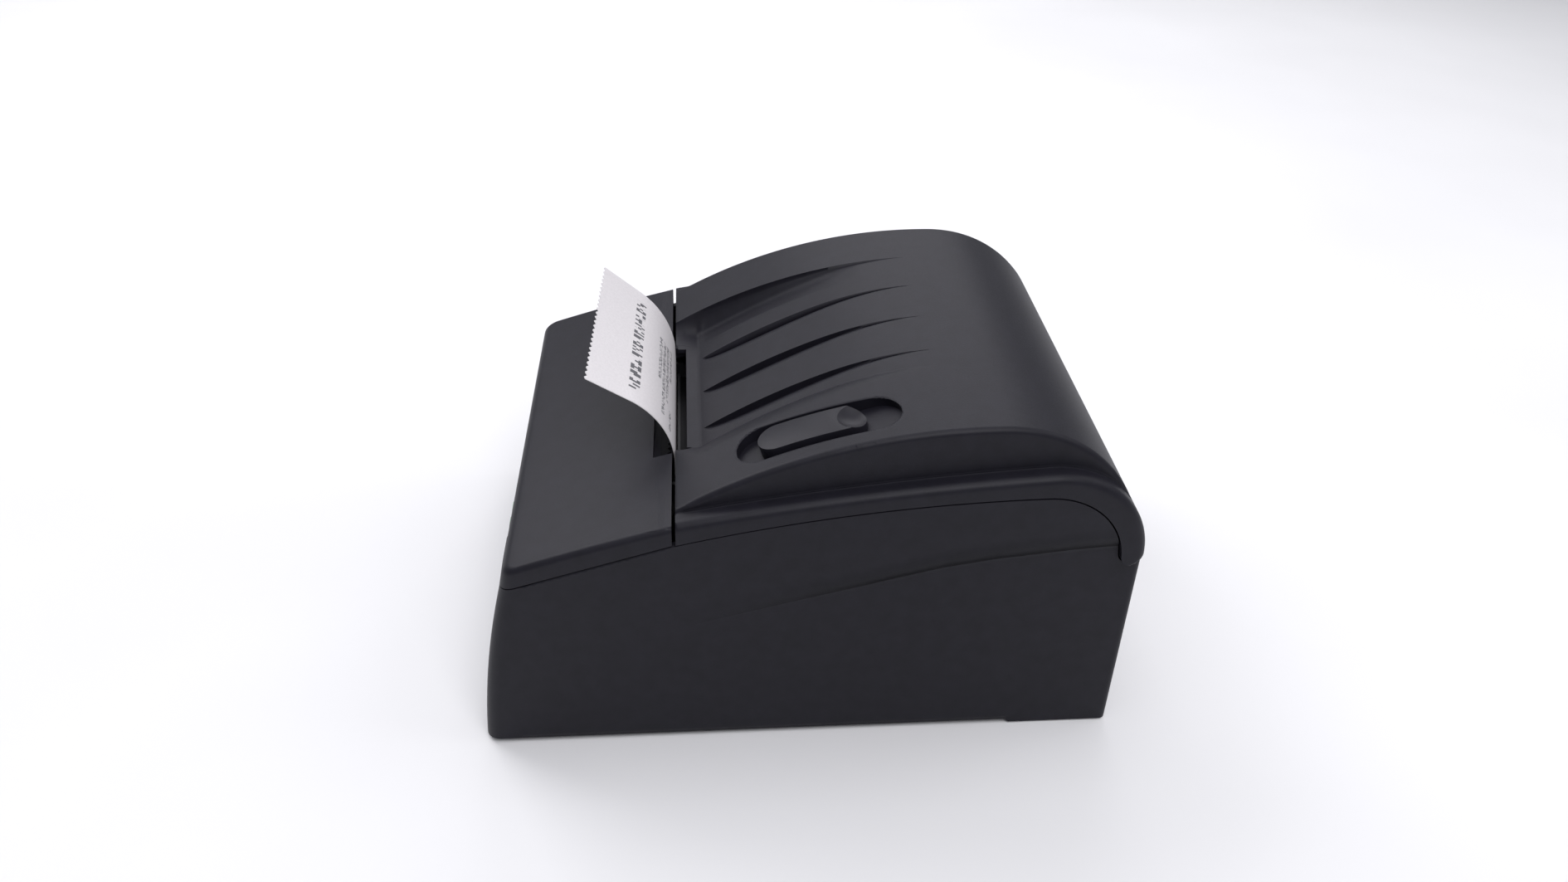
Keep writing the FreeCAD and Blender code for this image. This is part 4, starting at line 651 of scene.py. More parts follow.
@dataclass(frozen=True)
class WoundPaper(Finish):
    """The roll's paper: fine layers round the core on its ends."""

    centre: Point
    layers: float = 1900.0
    gap: Spot = (0.7, 0.7, 0.68)
    sheet: Spot = (0.86, 0.86, 0.85)

    def dress(self, graph: NodeGraph) -> None:
        """Adds the layers.

        Args:
            graph: The material's nodes.
        """
        dy, dz = (graph.sum("SUBTRACT", axis, place * MM) for axis, place in zip(graph.axes()[1:], self.centre))
        square = graph.sum("ADD", graph.product(dy, dy), graph.product(dz, dz))
        bands = graph.sum("SINE", graph.product(graph.sum("POWER", square, 0.5), self.layers, math.tau))
        factor = graph.add(Shade.RANGE, From_Min=-1.0, Value=bands).outputs[0]
        graph.surface(Base_Color=graph.ramp(factor, [(0.1, self.gap), (0.8, self.sheet)]), Roughness=0.62)
        graph.bump(factor, 0.2, 0.00005)


@dataclass(frozen=True)
class PrintedPaper(Finish):
    """Thermal paper with rows of plain marks on its upper face, by its own map."""

    rows: Sequence[Tuple[float, float, float, float, float]]
    dots_high: float = 3.0
    dots_wide: float = 3.999
    letter_share: float = 0.78
    blank_share: float = 0.45
    ink: Tuple[float, float, float, float] = (0.11, 0.11, 0.12, 1.0)
    fibres: Sequence[Tuple[float, Spot]] = ((0.25, (0.68, 0.655, 0.66)), (0.75, (0.75, 0.725, 0.73)))

    def marks(self, graph: NodeGraph, across: Socket, along: Socket) -> Socket:
        """The printed rows.

        Args:
            graph: The material's nodes.
            across: Millimetres across the strip.
            along: Millimetres from the torn edge.

        Returns:
            One where there is print.
        """
        total = None
        for number, (place, height, first, last, pitch) in enumerate(self.rows):
            step = graph.sum("DIVIDE", graph.sum("SUBTRACT", along, place), height)
            letter = graph.sum("DIVIDE", across, pitch)
            stroke = graph.sum("FRACT", letter)
            cell = graph.add(Shade.JOIN, X=graph.sum("FLOOR", letter),
                             Y=graph.sum("FLOOR", graph.product(step, self.dots_high)),
                             Z=graph.sum("FLOOR", graph.product(stroke, self.dots_wide)))
            dots = graph.add(Shade.WHITE, noise_dimensions="4D", W=float(number), Vector=cell.outputs[0])
            mark = graph.product(graph.within(step, 0.0, 1.0), graph.within(across, first, last),
                                 graph.sum("GREATER_THAN", dots.outputs["Value"], self.blank_share),
                                 graph.sum("LESS_THAN", stroke, self.letter_share))
            total = mark if total is None else graph.sum("MAXIMUM", total, mark)
        return total

    def dress(self, graph: NodeGraph) -> None:
        """Adds the fibres and the print.

        Args:
            graph: The material's nodes.
        """
        across, along = (graph.product(axis, MAP_UNIT) for axis in graph.axes("UV")[:2])
        fibre = graph.grain(1500.0, 4.0)
        printed = graph.blend(self.marks(graph, across, along), graph.ramp(fibre, self.fibres), self.ink)
        graph.surface(Base_Color=printed, Roughness=0.55)
        graph.bump(fibre, 0.12, 0.00004)


@dataclass
class Lid(Piece):
    """The arched lid with its shoulder, sloping panel, grooves and finger recess."""

    node: str = "lid_shell"
    front: float = -36.7
    half: float = 70.0
    arch_half: float = 64.3
    inset: float = 0.14
    edge: float = 2.4
    arch_edge: float = 1.7
    corner: float = 0.7
    core: Point = (57.0, 58.0)
    shoulder: Arc = Arc((-36.7, 77.0), (64.5, 90.2), 810.0)
    shoulder_rear: Arc = Arc((64.5, 90.2), (92.5, 63.4), 28.03)
    barrel: Arc = Arc((85.3, 63.4), (92.5, 63.4), 3.6)
    arch: Arc = Arc((-36.7, 77.7), (49.5, 102.0), 165.04)
    arch_rear: Arc = Arc((49.5, 102.0), (91.27, 64.4), 42.0)
    lip: Point = (-29.7, 74.9)
    panel: Arc = Arc((-29.7, 74.9), (23.5, 100.1), 204.0)
    slot_half: float = 29.75
    flare: float = 1.577
    blend: float = 2.2
    grooves: Sequence[float] = (-20.5, 0.0, 20.5)
    groove_depth: float = 2.6
    groove_spread: float = 5.0
    groove_least: float = 0.05
    groove_run: float = 65.77
    groove_start: float = -28.1
    leaf_peak: float = 0.325
    recess: Point = (50.0, -0.4)
    recess_width: float = 15.6
    recess_length: float = 46.0
    recess_shift: float = 1.7
    recess_round: float = 0.4
    far_edge: float = 41.0
    far_foot: float = 32.5
    far_power: int = 5
    far_leaf: float = 1.7
    lip_start: float = -30.6
    lip_rays: int = 10
    depth_steps: Sequence[Spot] = ((-30.2, -22.0, 0.6), (-22.0, 26.0, 0.45), (26.0, 56.6, 0.9))
    across_steps: Sequence[Spot] = ((-41.2, 40.0, 0.9), (40.0, 60.2, 0.5))
    groove_marks: Sequence[float] = (-0.25, -0.02, 0.02, 0.3)
    far_marks: Sequence[float] = (-0.3, -0.02, 0.02, 0.2, 0.45, 0.7)
    rear_rays: int = 84
    rear_gap: float = 0.004
    far_columns: Tuple[float, int] = (-42.0, 14)
    near_columns: Tuple[float, int] = (60.4, 5)
    column_gap: float = 0.2
    corner_share: float = 0.35
    edge_share: float = 0.62
    side_leads: Point = (3.0, 1.5)
    flat_lead: float = 1.0
    wall_shares: Point = (0.34, 0.67)

    def stations(self) -> List[Tuple[Point, Point]]:
        """Rays that cut the lid from its front edge round to its hinge.

        Returns:
            Start and direction of each ray.
        """
        spots = [*np.linspace(self.front, self.lip_start, self.lip_rays), *spaced(self.depth_steps)]
        rays = [((float(depth), self.core[1]), (0.0, 1.0)) for depth in spots]
        middle, low = self.barrel.centre
        last = math.atan2(low - self.barrel.radius - self.core[1], middle - self.core[0]) + self.rear_gap
        turns = np.linspace(math.pi / 2, last, self.rear_rays)
        return rays + [(self.core, (math.cos(turn), math.sin(turn))) for turn in turns]

    def heights(self, start: Point, way: Point) -> Point:
        """How far the shoulder and the arch lie along a ray.

        Args:
            start: Start of the ray.
            way: Its direction.

        Returns:
            Length to the shoulder and to the arch.
        """
        upright = way[0] == 0.0
        if upright:
            low = self.shoulder.height(start[0]) - start[1]
        else:
            low = self.shoulder.reach(start, way)
            if start[0] + way[0] * low >= self.shoulder.end[0]:
                low = self.shoulder_rear.reach(start, way)
            if start[1] + way[1] * low < self.barrel.end[1]:
                low = self.barrel.reach(start, way)
        if upright and start[0] < self.arch.end[0]:
            high = self.arch.height(start[0]) - start[1]
        else:
            high = self.arch_rear.reach(start, way)
        return low - self.inset, max(high, low) - self.inset

    def leaf(self, depth: float) -> float:
        """Share of a groove's greatest size at one depth, nothing before and behind the grooves."""
        part = min(max((depth - self.groove_start) / self.groove_run, 0.0), 1.0)
        return math.sqrt(part) * (1 - part) ** 1.5 / self.leaf_peak

    def sunk(self, across: np.ndarray, depth: float, top: float) -> np.ndarray:
        """Height of the lid's upper side at one depth.

        Args:
            across: Places across the lid.
            depth: Depth along the printer.
            top: Height of the arch there.

        Returns:
            Heights with the panel, its steep far wall, its grooves and the recess rim.
        """
        low = (self.lip[1] if depth < self.lip[0] else self.panel.height(depth)) - self.inset
        wall = low + np.maximum(np.abs(across) - self.slot_half, 0.0) / self.flare
        share = np.maximum(self.blend - np.abs(wall - top), 0.0) / self.blend
        height = np.minimum(wall, top) - share ** 2 * self.blend / 4
        reach = self.far_edge - self.slot_half
        rise = np.clip((-across - self.far_foot) / (self.far_edge - self.far_foot), 0.0, 1.0) ** self.far_power
        level = max(self.blend - abs(low - top), 0.0) / self.blend
        fade = np.clip((-across - self.slot_half) / reach, 0.0, 1.0)
        dip = level ** 2 * self.blend / 4 * (1.0 - fade)
        far = np.minimum(low + max(top - low, 0.0) * rise, top) - dip
        height = np.where(across < -self.slot_half, far, height)
        leaf = self.leaf(depth)
        for place in self.grooves:
            run = (across - place) / max(self.groove_spread * leaf, self.groove_least)
            height = height - self.groove_depth * leaf * wedge(run)
        height = height - self.far_leaf * leaf * wedge((across + self.far_edge) / reach)
        slope = math.asin((self.arch.centre[0] - self.recess[1]) / self.arch.radius)
        along = (depth - self.recess[1]) * math.cos(slope) \
            + (top - self.arch.height(self.recess[1])) * math.sin(slope) - self.recess_shift
        straight = self.recess_length / 2 - self.recess_width / 2
        away = np.hypot(across - self.recess[0], max(abs(along) - straight, 0.0)) - self.recess_width / 2
        inner = np.clip(self.recess_round - away, 0.0, self.recess_round)
        drop = self.recess_round - np.sqrt(np.maximum(self.recess_round ** 2 - inner ** 2, 0.0))
        return height - drop

    def creases(self) -> np.ndarray:
        """Extra places across the lid where its upper side turns sharply."""
        bends = ((self.grooves, self.groove_marks), ((-self.slot_half, self.slot_half), (0.0,)),
                 ((-self.far_edge,), self.far_marks))
        return np.array([place + mark for places, marks in bends for place in places for mark in marks])

    def ring(self, start: Point, way: Point) -> List[Spot]:
        """One closed cut through the lid.

        Args:
            start: Start of the ray.
            way: Its direction.

        Returns:
            Points round the cut.
        """
        low, high = self.heights(start, way)
        step = high - low
        half, arch_half = self.half - self.inset, self.arch_half - self.inset
        inner, outer = min(self.corner, step * self.corner_share), min(self.arch_edge, step * self.edge_share)
        side = [(half, 0.0), (half, low / 2), *((half, low - self.edge * lead) for lead in self.side_leads)]
        side += [(half - self.edge * (1 - c), low - self.edge * (1 - s)) for s, c in quarter(6)]
        side += [(half - self.edge - self.flat_lead, low), (arch_half + inner + self.flat_lead, low)]
        side += [(arch_half + inner * (1 - s), low + inner * (1 - c)) for s, c in quarter(4)]
        side += [(arch_half, low + inner + (step - inner - outer) * share) for share in self.wall_shares]
        side += [(arch_half - outer * (1 - c), high - outer * (1 - s)) for s, c in quarter(6)]
        edge = arch_half - self.arch_edge - self.column_gap
        (far, far_count), (near, near_count) = self.far_columns, self.near_columns
        marks = [np.linspace(-edge, far, far_count), spaced(self.across_steps),
                 np.linspace(near, edge, near_count), self.creases()]
        columns = np.unique(np.round(np.concatenate(marks), 4))
        if way[0] == 0.0:
            tops = self.sunk(columns, start[0], start[1] + high) - start[1]
        else:
            tops = np.full(len(columns), high)
        points = [(-x, h) for x, h in side] + list(zip(columns.tolist(), tops.tolist())) + side[::-1]
        return [(x, start[0] + way[0] * h, start[1] + way[1] * h) for x, h in points]

    def shape(self) -> Item:
        """Makes the lid."""
        blank = lofted("lid_blank", [self.ring(start, way) for start, way in self.stations()])
        return trimmed(blank, self.node, "lid_casing")


@dataclass
class LidLining(Lid):
    """The skin that closes the lid under its deep far wall."""

    thickness: float = 1.3
    depths: Point = (-36.3, 37.5)
    places: Point = (-42.5, -27.5)
    place_step: float = 0.5
    drop: float = 0.04
    shift: float = 0.06

    def shape(self) -> Item:
        """Makes the skin.

        Returns:
            The bare piece.
        """
        across = np.unique(np.concatenate([np.arange(*self.places, self.place_step), self.creases()]))
        across = across[(across >= self.places[0]) & (across <= self.places[1])]
        rings = []
        for (depth, _), way in self.stations():
            if way[0] == 0.0 and self.depths[0] < depth < self.depths[1]:
                tops = self.sunk(across, depth, self.arch.height(depth) - self.inset) - self.drop
                upper = [(x - self.shift, depth, z) for x, z in zip(across.tolist(), tops.tolist())]
                rings.append(upper + [(x, y, z - self.thickness) for x, y, z in reversed(upper)])
        return smooth(lofted("lid_lining", rings))


@dataclass
class Base(Piece):
    """The tub with its leaning front and soft flank crease."""

    node: str = "base_housing"
    half: float = 70.0
    rear_low: float = 92.1
    rear_high: float = 92.5
    rear_top: float = 59.4
    front: Arc = Arc((-92.5, 1.6), (-83.7, 56.0), 284.0)
    front_top: float = 58.0
    front_corner: float = 4.0
    rear_corner: float = 2.0
    inset: float = 0.1
    crease: Sequence[Point] = FLANK_LINE
    crease_depth: float = 2.0
    crease_start: float = -40.0
    crease_run: float = 60.0
    tuck: float = 5.5
    columns: int = 150
    column_gap: float = 0.6
    levels: Sequence[Spot] = ((0.1, 38.0, 3.0), (38.0, 70.0, 0.7), (70.0, 90.0, 2.0))

    def front_at(self, height: float) -> float:
        """Depth of the front face at a height."""
        middle, low = self.front.centre
        return middle - math.sqrt(self.front.radius ** 2 - (min(height, self.front_top) - low) ** 2)

    def relief(self, depth: float, height: float) -> float:
        """How far the flank is set back at a point.

        Args:
            depth: Depth along the printer.
            height: Height over the table.

        Returns:
            Millimetres inwards.
        """
        line = float(np.interp(depth, [p[0] for p in self.crease], [p[1] for p in self.crease]))
        fade = min(max((depth - self.crease_start) / self.crease_run, 0.0), 1.0)
        if height > line:
            return self.crease_depth * fade * max(1.0 - (height - line) / self.tuck, 0.0) ** 2
        return self.crease_depth * fade * height / line

    def ring(self, height: float) -> List[Spot]:
        """One closed level cut through the tub.

        Args:
            height: Height of the cut.

        Returns:
            Points round the cut.
        """
        share = min(max(height / self.rear_top, 0.0), 1.0)
        rear = self.rear_low + (self.rear_high - self.rear_low) * share - self.inset
        front = self.front_at(height) + self.inset
        half = self.half - self.inset
        corner = self.front_corner
        right = [(half - corner * (1 - s), front + corner * (1 - c)) for s, c in quarter(8)]
        ends = front + corner + self.column_gap, rear - self.rear_corner - self.column_gap
        depths = np.linspace(*ends, self.columns).tolist()
        right += [(half - self.relief(depth, height), depth) for depth in depths]
        back, corner = half - self.relief(rear, height), self.rear_corner
        right += [(back - corner * (1 - c), rear - corner * (1 - s)) for s, c in quarter(5)]
        return [(x, y, height) for x, y in right] + [(-x, y, height) for x, y in reversed(right)]

    def shape(self) -> Item:
        """Makes the tub."""
        blank = lofted("base_blank", [self.ring(level) for level in spaced(self.levels).tolist()])
        return trimmed(blank, self.node, "base_casing")


@dataclass
class FrontCover(Piece):
    """The sloping cover in front of the paper slot."""

    node: str = "front_cover"
    half: float = 70.0
    crown: Arc = Arc((-82.4, 62.6), (-37.7, 76.3), 650.0)
    foot: Point = (-85.04, 50.0)
    rear: float = -30.0
    inset: float = 0.1
    corner: float = 4.0
    edge: float = 1.8
    rows: int = 24
    walls: int = 6
    passes: int = 6

    def front_at(self, height: float) -> float:
        """Depth of the leaning front face at a height."""
        lean = (self.crown.start[0] - self.foot[0]) / (self.crown.start[1] - self.foot[1])
        return self.foot[0] + lean * (height - self.foot[1]) + self.inset

    def ring(self, share: float, shrink: float, drop: float) -> List[Spot]:
        """One closed cut round the cover.

        Args:
            share: Part of the wall's height, one at the crown.
            shrink: How far the cut lies inside the wall.
            drop: How far the cut lies below the crown at the full share.

        Returns:
            Points round the cut.
        """
        radius = self.corner - shrink
        plan = [(radius * (1 - s), radius * (1 - c), 0.0) for s, c in quarter(10)]
        plan += [(0.0, radius, row / self.rows) for row in range(1, self.rows + 1)]
        right = []
        for back, ahead, part in plan:
            depth, height = self.crown.start
            for _ in range(self.passes):
                front = self.front_at(height) + shrink + ahead
                depth = front + part * (self.rear - front)
                top = self.crown.height(depth) - self.inset - drop
                height = self.foot[1] + share * (top - self.foot[1])
            right.append((self.half - self.inset - shrink - back, depth, height))
        return right + [(-x, y, z) for x, y, z in reversed(right)]

    def shape(self) -> Item:
        """Makes the cover.

        Returns:
            The bare piece.
        """
        rings = [self.ring(level / self.walls, 0.0, self.edge) for level in range(self.walls + 1)]
        rings += [self.ring(1.0, self.edge * (1 - c), self.edge * (1 - s)) for s, c in quarter(7)[1:]]
        columns = len(rings[0])
        first, last = (len(rings) - 1) * columns, len(rings) * columns - 1
        faces = tube_faces(len(rings), columns)[:-1]
        faces += [[first + k, first + k + 1, last - 1 - k, last - k] for k in range(columns // 2 - 1)]
        blank = mesh_object("cover_blank", [point for ring in rings for point in ring], faces)
        return trimmed(blank, self.node, "front_casing")


@dataclass
class Receipt(Piece):
    """The strip that runs from the roll round the turn, leaves the slot and curls forward."""

    node: str = "receipt_paper"
    slot: str = "paper"
    width: float = 64.0
    thickness: float = 0.2
    exit_height: float = 71.0
    low: float = 53.1
    depth: float = -36.9
    curl_radius: float = 26.5
    curl_angle: float = 55.0
    twist: float = 4.0
    tip: float = 14.0
    tooth: float = 1.1
    tooth_share: float = 0.8
    pitch: float = 2.5
    roll: Point = ROLL_CENTRE
    lift: float = 25.3
    turn_radius: float = 4.35
    rows: int = 170
    tooth_columns: int = 6
    plain_shift: float = 2.0
    sharp: float = 50.0

    def course(self, across: float = 0.0) -> Tuple[float, List[Point]]:
        """The strip's way from the roll round the turn, up through the slot and forward.

        Args:
            across: Millimetres from the strip's middle.

        Returns:
            Direction at the roll, and length and bend of each stretch.
        """
        reach = (self.depth + self.turn_radius - self.roll[0], self.low - self.roll[1])
        offset, far = self.lift + self.turn_radius, math.hypot(*reach)
        way = math.atan2(reach[1], reach[0]) + math.asin(offset / far)
        turn = math.pi / 2 - way
        curl = math.radians(self.curl_angle)
        bend = math.radians(self.curl_angle + self.twist * across / self.width * 2)
        return way, [(math.sqrt(far ** 2 - offset ** 2), 0.0), (-self.turn_radius * turn, turn),
                     (self.exit_height - self.low, 0.0), (self.curl_radius * curl, bend), (self.tip, 0.0)]

    def path(self, length: float, across: float) -> Tuple[Point, Point]:
        """Point and upper-side normal at a length from the roll.

        Args:
            length: Millimetres along the strip.
            across: Millimetres from the strip's middle.

        Returns:
            Point and normal.
        """
        way, stretches = self.course(across)
        y, z = self.roll[0] + math.sin(way) * self.lift, self.roll[1] - math.cos(way) * self.lift
        for run, bend in stretches:
            part = min(length, run)
            after = way + bend * part / run
            if bend:
                y += run / bend * (math.sin(after) - math.sin(way))
                z -= run / bend * (math.cos(after) - math.cos(way))
            else:
                y, z = y + part * math.cos(way), z + part * math.sin(way)
            way, length = after, length - part
        return (y, z), (math.sin(way), -math.cos(way))

    def faces(self, rows: int, columns: int) -> List[List[int]]:
        """Faces of two grids, one under the other, that are closed along their rims.

        Args:
            rows: Points along a grid.
            columns: Points across it.

        Returns:
            Corner numbers of each face.
        """
        under, end = rows * columns, (rows - 1) * columns
        faces = []
        for row in range(0, end, columns):
            for a in range(row, row + columns - 1):
                b = under + a
                faces += [[a, a + 1, a + columns + 1, a + columns], [b, b + columns, b + columns + 1, b + 1]]
        rim = [(a, a + 1) for row in (0, end) for a in range(row, row + columns - 1)]
        rim += [(a, a + columns) for side in (0, columns - 1) for a in range(side, side + end, columns)]
        return faces + [[a, b, under + b, under + a] for a, b in rim]

    def shape(self) -> Item:
        """Makes the strip.

        Returns:
            The bare piece.
        """
        half, total = self.width / 2, sum(run for run, _ in self.course()[1])
        columns = np.linspace(-half, half, int(self.width / self.pitch) * self.tooth_columns + 1).tolist()
        points, coords = [], []
        for side, aside in ((1, 0.0), (-1, self.plain_shift)):
            for share in np.linspace(0.0, 1.0, self.rows).tolist():
                for x in columns:
                    wave = abs(((x / self.pitch) % 1.0) - 0.5) * 2
                    length = share * (total - self.tooth * wave * self.tooth_share)
                    (y, z), (ny, nz) = self.path(length, x)
                    shift = side * self.thickness / 2
                    points.append((x, y + ny * shift, z + nz * shift))
                    coords.append(((x + half) / MAP_UNIT + aside, (total - length) / MAP_UNIT))
        piece = mesh_object("receipt_strip", points, self.faces(self.rows, len(columns)))
        layer = piece.data.uv_layers.new(name="strip")
        for loop in piece.data.loops:
            layer.data[loop.index].uv = coords[loop.vertex_index]
        return smooth(piece, self.sharp)


@dataclass
class TearBar(Piece):
    """The toothed bar under the paper's exit, its teeth set out by geometry nodes."""

    node: str = "tear_bar"
    slot: str = "steel"
    length: float = 64.0
    pitch: float = 2.5
    tooth: float = 1.1
    front: float = -40.9
    tip: float = -38.0
    low: float = 71.3
    thickness: float = 1.0

    def tree(self) -> bpy.types.NodeTree:
        """Makes the node tree.

        Returns:
            The tree.
        """
        tree = bpy.data.node_groups.new("toothed_bar", "GeometryNodeTree")
        tree.interface.new_socket("Geometry", in_out="OUTPUT", socket_type="NodeSocketGeometry")
        for label, kind in (("Teeth", "Int"), ("Pitch", "Float"), ("Depth", "Float"), ("Thickness", "Float")):
            tree.interface.new_socket(label, in_out="INPUT", socket_type="NodeSocket" + kind)
        nodes = Nodes(tree)
        given = nodes.add(Geo.INPUT).outputs
        first = -(self.length / 2) + self.pitch / 2 + (self.length % self.pitch) / 2
        root, middle = self.tip - self.tooth, (self.low + self.thickness / 2) * MM
        gap = nodes.add(Shade.JOIN, X=given["Pitch"])
        line = nodes.add(Geo.LINE, Count=given["Teeth"], Offset=gap.outputs[0])
        prism = nodes.add(Geo.PRISM, Vertices=3, Radius=1.0, Depth=given["Thickness"])
        turned = nodes.add(Geo.MOVE, Geometry=prism.outputs["Mesh"], Rotation=(0.0, 0.0, math.pi / 2))
        stretch = nodes.add(Shade.JOIN, X=nodes.sum("DIVIDE", given["Pitch"], math.sqrt(3.0)),
                            Y=nodes.sum("DIVIDE", given["Depth"], 1.5), Z=1.0)
        sized = nodes.add(Geo.MOVE, Geometry=turned.outputs[0], Scale=stretch.outputs[0])
        spread = nodes.add(Geo.SPREAD, Points=line.outputs["Mesh"], Instance=sized.outputs[0])
        moved = nodes.add(Geo.MOVE, Geometry=spread.outputs[0],
                          Translation=(first * MM, (self.tip - self.tooth * 2 / 3) * MM, middle))
        strip = nodes.add(Geo.BLOCK, Size=(self.length * MM, (root - self.front) * MM, self.thickness * MM))
        laid = nodes.add(Geo.MOVE, Geometry=strip.outputs["Mesh"],
                         Translation=(0.0, (root + self.front) / 2 * MM, middle))
        both = nodes.add(Geo.UNITE)
        for node in (moved, laid):
            nodes.put(node.outputs[0], both.inputs[0])
        real = nodes.add(Geo.REALIZE, Geometry=both.outputs[0])
        paint = nodes.add(Geo.PAINT, Geometry=real.outputs[0], Material=self.finish)
        nodes.add(Geo.OUTPUT, Geometry=paint.outputs[0])
        return tree

    def shape(self) -> Item:
        """Makes the bar.

        Returns:
            The bare piece, with its material.
        """
        holder = mesh_object("tear_bar_holder", [(0, self.tip, self.low)], [])
        change = holder.modifiers.new("teeth", "NODES")
        change.node_group = self.tree()
        values = {"Teeth": int(self.length / self.pitch), "Pitch": self.pitch * MM, "Depth": self.tooth * MM,
                  "Thickness": self.thickness * MM}
        for item in change.node_group.interface.items_tree:
            if item.in_out == "INPUT":
                change[item.identifier] = values[item.name]
        return plain_mesh(holder, "tear_bar_teeth")


@dataclass
class SmoothPart(Piece):
    """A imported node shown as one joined, smooth-shaded piece with small rounded edges."""

    edge: float = 0.0
    angle: float = 32.0
    flat: float = 1.0
    sharp: float = 40.0

    def shape(self) -> Item:
        """Makes the piece.

        Returns:
            The bare piece.
        """
        item = solid_copy(self.node)
        item.data.materials.clear()
        if self.edge > 0.0:
            with edited(item.data) as work:
                bmesh.ops.dissolve_limit(work, angle_limit=math.radians(self.flat), verts=work.verts,
                                         edges=work.edges)
            change = item.modifiers.new("edges", "BEVEL")
            change.width = self.edge * MM
            change.segments = 3
            change.limit_method = "ANGLE"
            change.angle_limit = math.radians(self.sharp)
            change.use_clamp_overlap = True
        return smooth(plain_mesh(item, self.node + "_smooth"), self.angle)


@dataclass
class Studio:
    """Floor, light and camera."""

    centre: Spot = (328.677, -31.643, 272.638)
    azimuth: float = 82.027
    elevation: float = 34.956
    roll: float = 3.605
    focal: float = 1498.096
    image: Point = (1890.0, 1063.0)
    middle: Point = (1007.946, 581.976)
    sensor: float = 36.0
    floor_half: float = 3000.0
    floor_drop: float = 0.0002
    floor_tones: Point = (0.86, 0.9)
    sky: Tuple[float, float, float, float] = (0.9, 0.93, 1.0, 1.0)
    surround: float = 0.22
    aim: Spot = (0.0, 0.0, 0.06)
    lamp_size: float = 0.75
    lamp_colour: Spot = (0.97, 0.96, 1.0)
    lamps: Sequence[Tuple[str, Spot, float]] = (
        ("front_window", (-0.75, -0.7, 0.95), 7.4), ("far_window", (-0.97, 0.14, 0.75), 3.2),
        ("near_top", (0.75, 0.15, 1.15), 8.6), ("rear_top", (0.0, 0.9, 0.9), 2.6),
        ("overhead", (0.0, 0.0, 1.3), 3.6), ("far_rear", (-0.75, 0.75, 0.8), 0.9))

    def camera(self) -> None:
        """Sets the camera where the photograph was taken."""
        data = bpy.data.cameras.new("photo_camera")
        data.sensor_width = self.sensor
        data.lens = self.focal / self.image[0] * self.sensor
        data.shift_x = (self.image[0] / 2 - self.middle[0]) / self.image[0]
        data.shift_y = (self.middle[1] - self.image[1] / 2) / self.image[0]
        data.clip_start = 0.01
        place = Matrix.Translation(Vector(self.centre) * MM)
        for degrees, axis in ((self.azimuth, "Z"), (90.0 - self.elevation, "X"), (self.roll, "Z")):
            place = place @ Matrix.Rotation(math.radians(degrees), 4, axis)
        item = placed("photo_camera", data)
        item.matrix_world = place
        bpy.context.scene.camera = item

    def lamp(self, name: str, place: Spot, power: float) -> None:
        """Adds an area lamp that points at the printer.

        Args:
            name: Name of the lamp.
            place: Where it hangs, in metres.
            power: Watts.
        """
        data = bpy.data.lights.new(name, "AREA")
        data.shape = "RECTANGLE"
        data.size = data.size_y = self.lamp_size
        data.energy = power
        data.color = self.lamp_colour
        item = placed(name, data)
        item.location = place
        item.rotation_euler = (Vector(self.aim) - Vector(place)).to_track_quat("-Z", "Y").to_euler()

    def floor(self) -> None:
        """Lays the pale floor."""
        far = self.floor_half
        corners = [(-far, -far, 0), (far, -far, 0), (far, far, 0), (-far, far, 0)]
        item = mesh_object("floor", corners, [range(len(corners))])
        graph = NodeGraph("floor_paint")
        tint = graph.curve(graph.grain(6.0), list(zip((0.3, 0.7), self.floor_tones)))
        graph.surface(Base_Color=tint, Roughness=0.8)
        item.data.materials.append(graph.material)
        item.location.z = -self.floor_drop

    def world(self) -> None:
        """Sets an even pale surround."""
        scene = bpy.context.scene
        scene.world = bpy.data.worlds.new("surround")
        scene.world.use_nodes = True
        back = scene.world.node_tree.nodes["Background"]
        back.inputs[0].default_value = self.sky
        back.inputs[1].default_value = self.surround
        scene.view_settings.view_transform = "Standard"

    def build(self) -> None:
        """Makes the whole studio."""
        self.camera()
        self.floor()
        self.world()
        for name, place, power in self.lamps:
            self.lamp(name, place, power)
        LOG.info("studio with %d lamps", len(self.lamps))


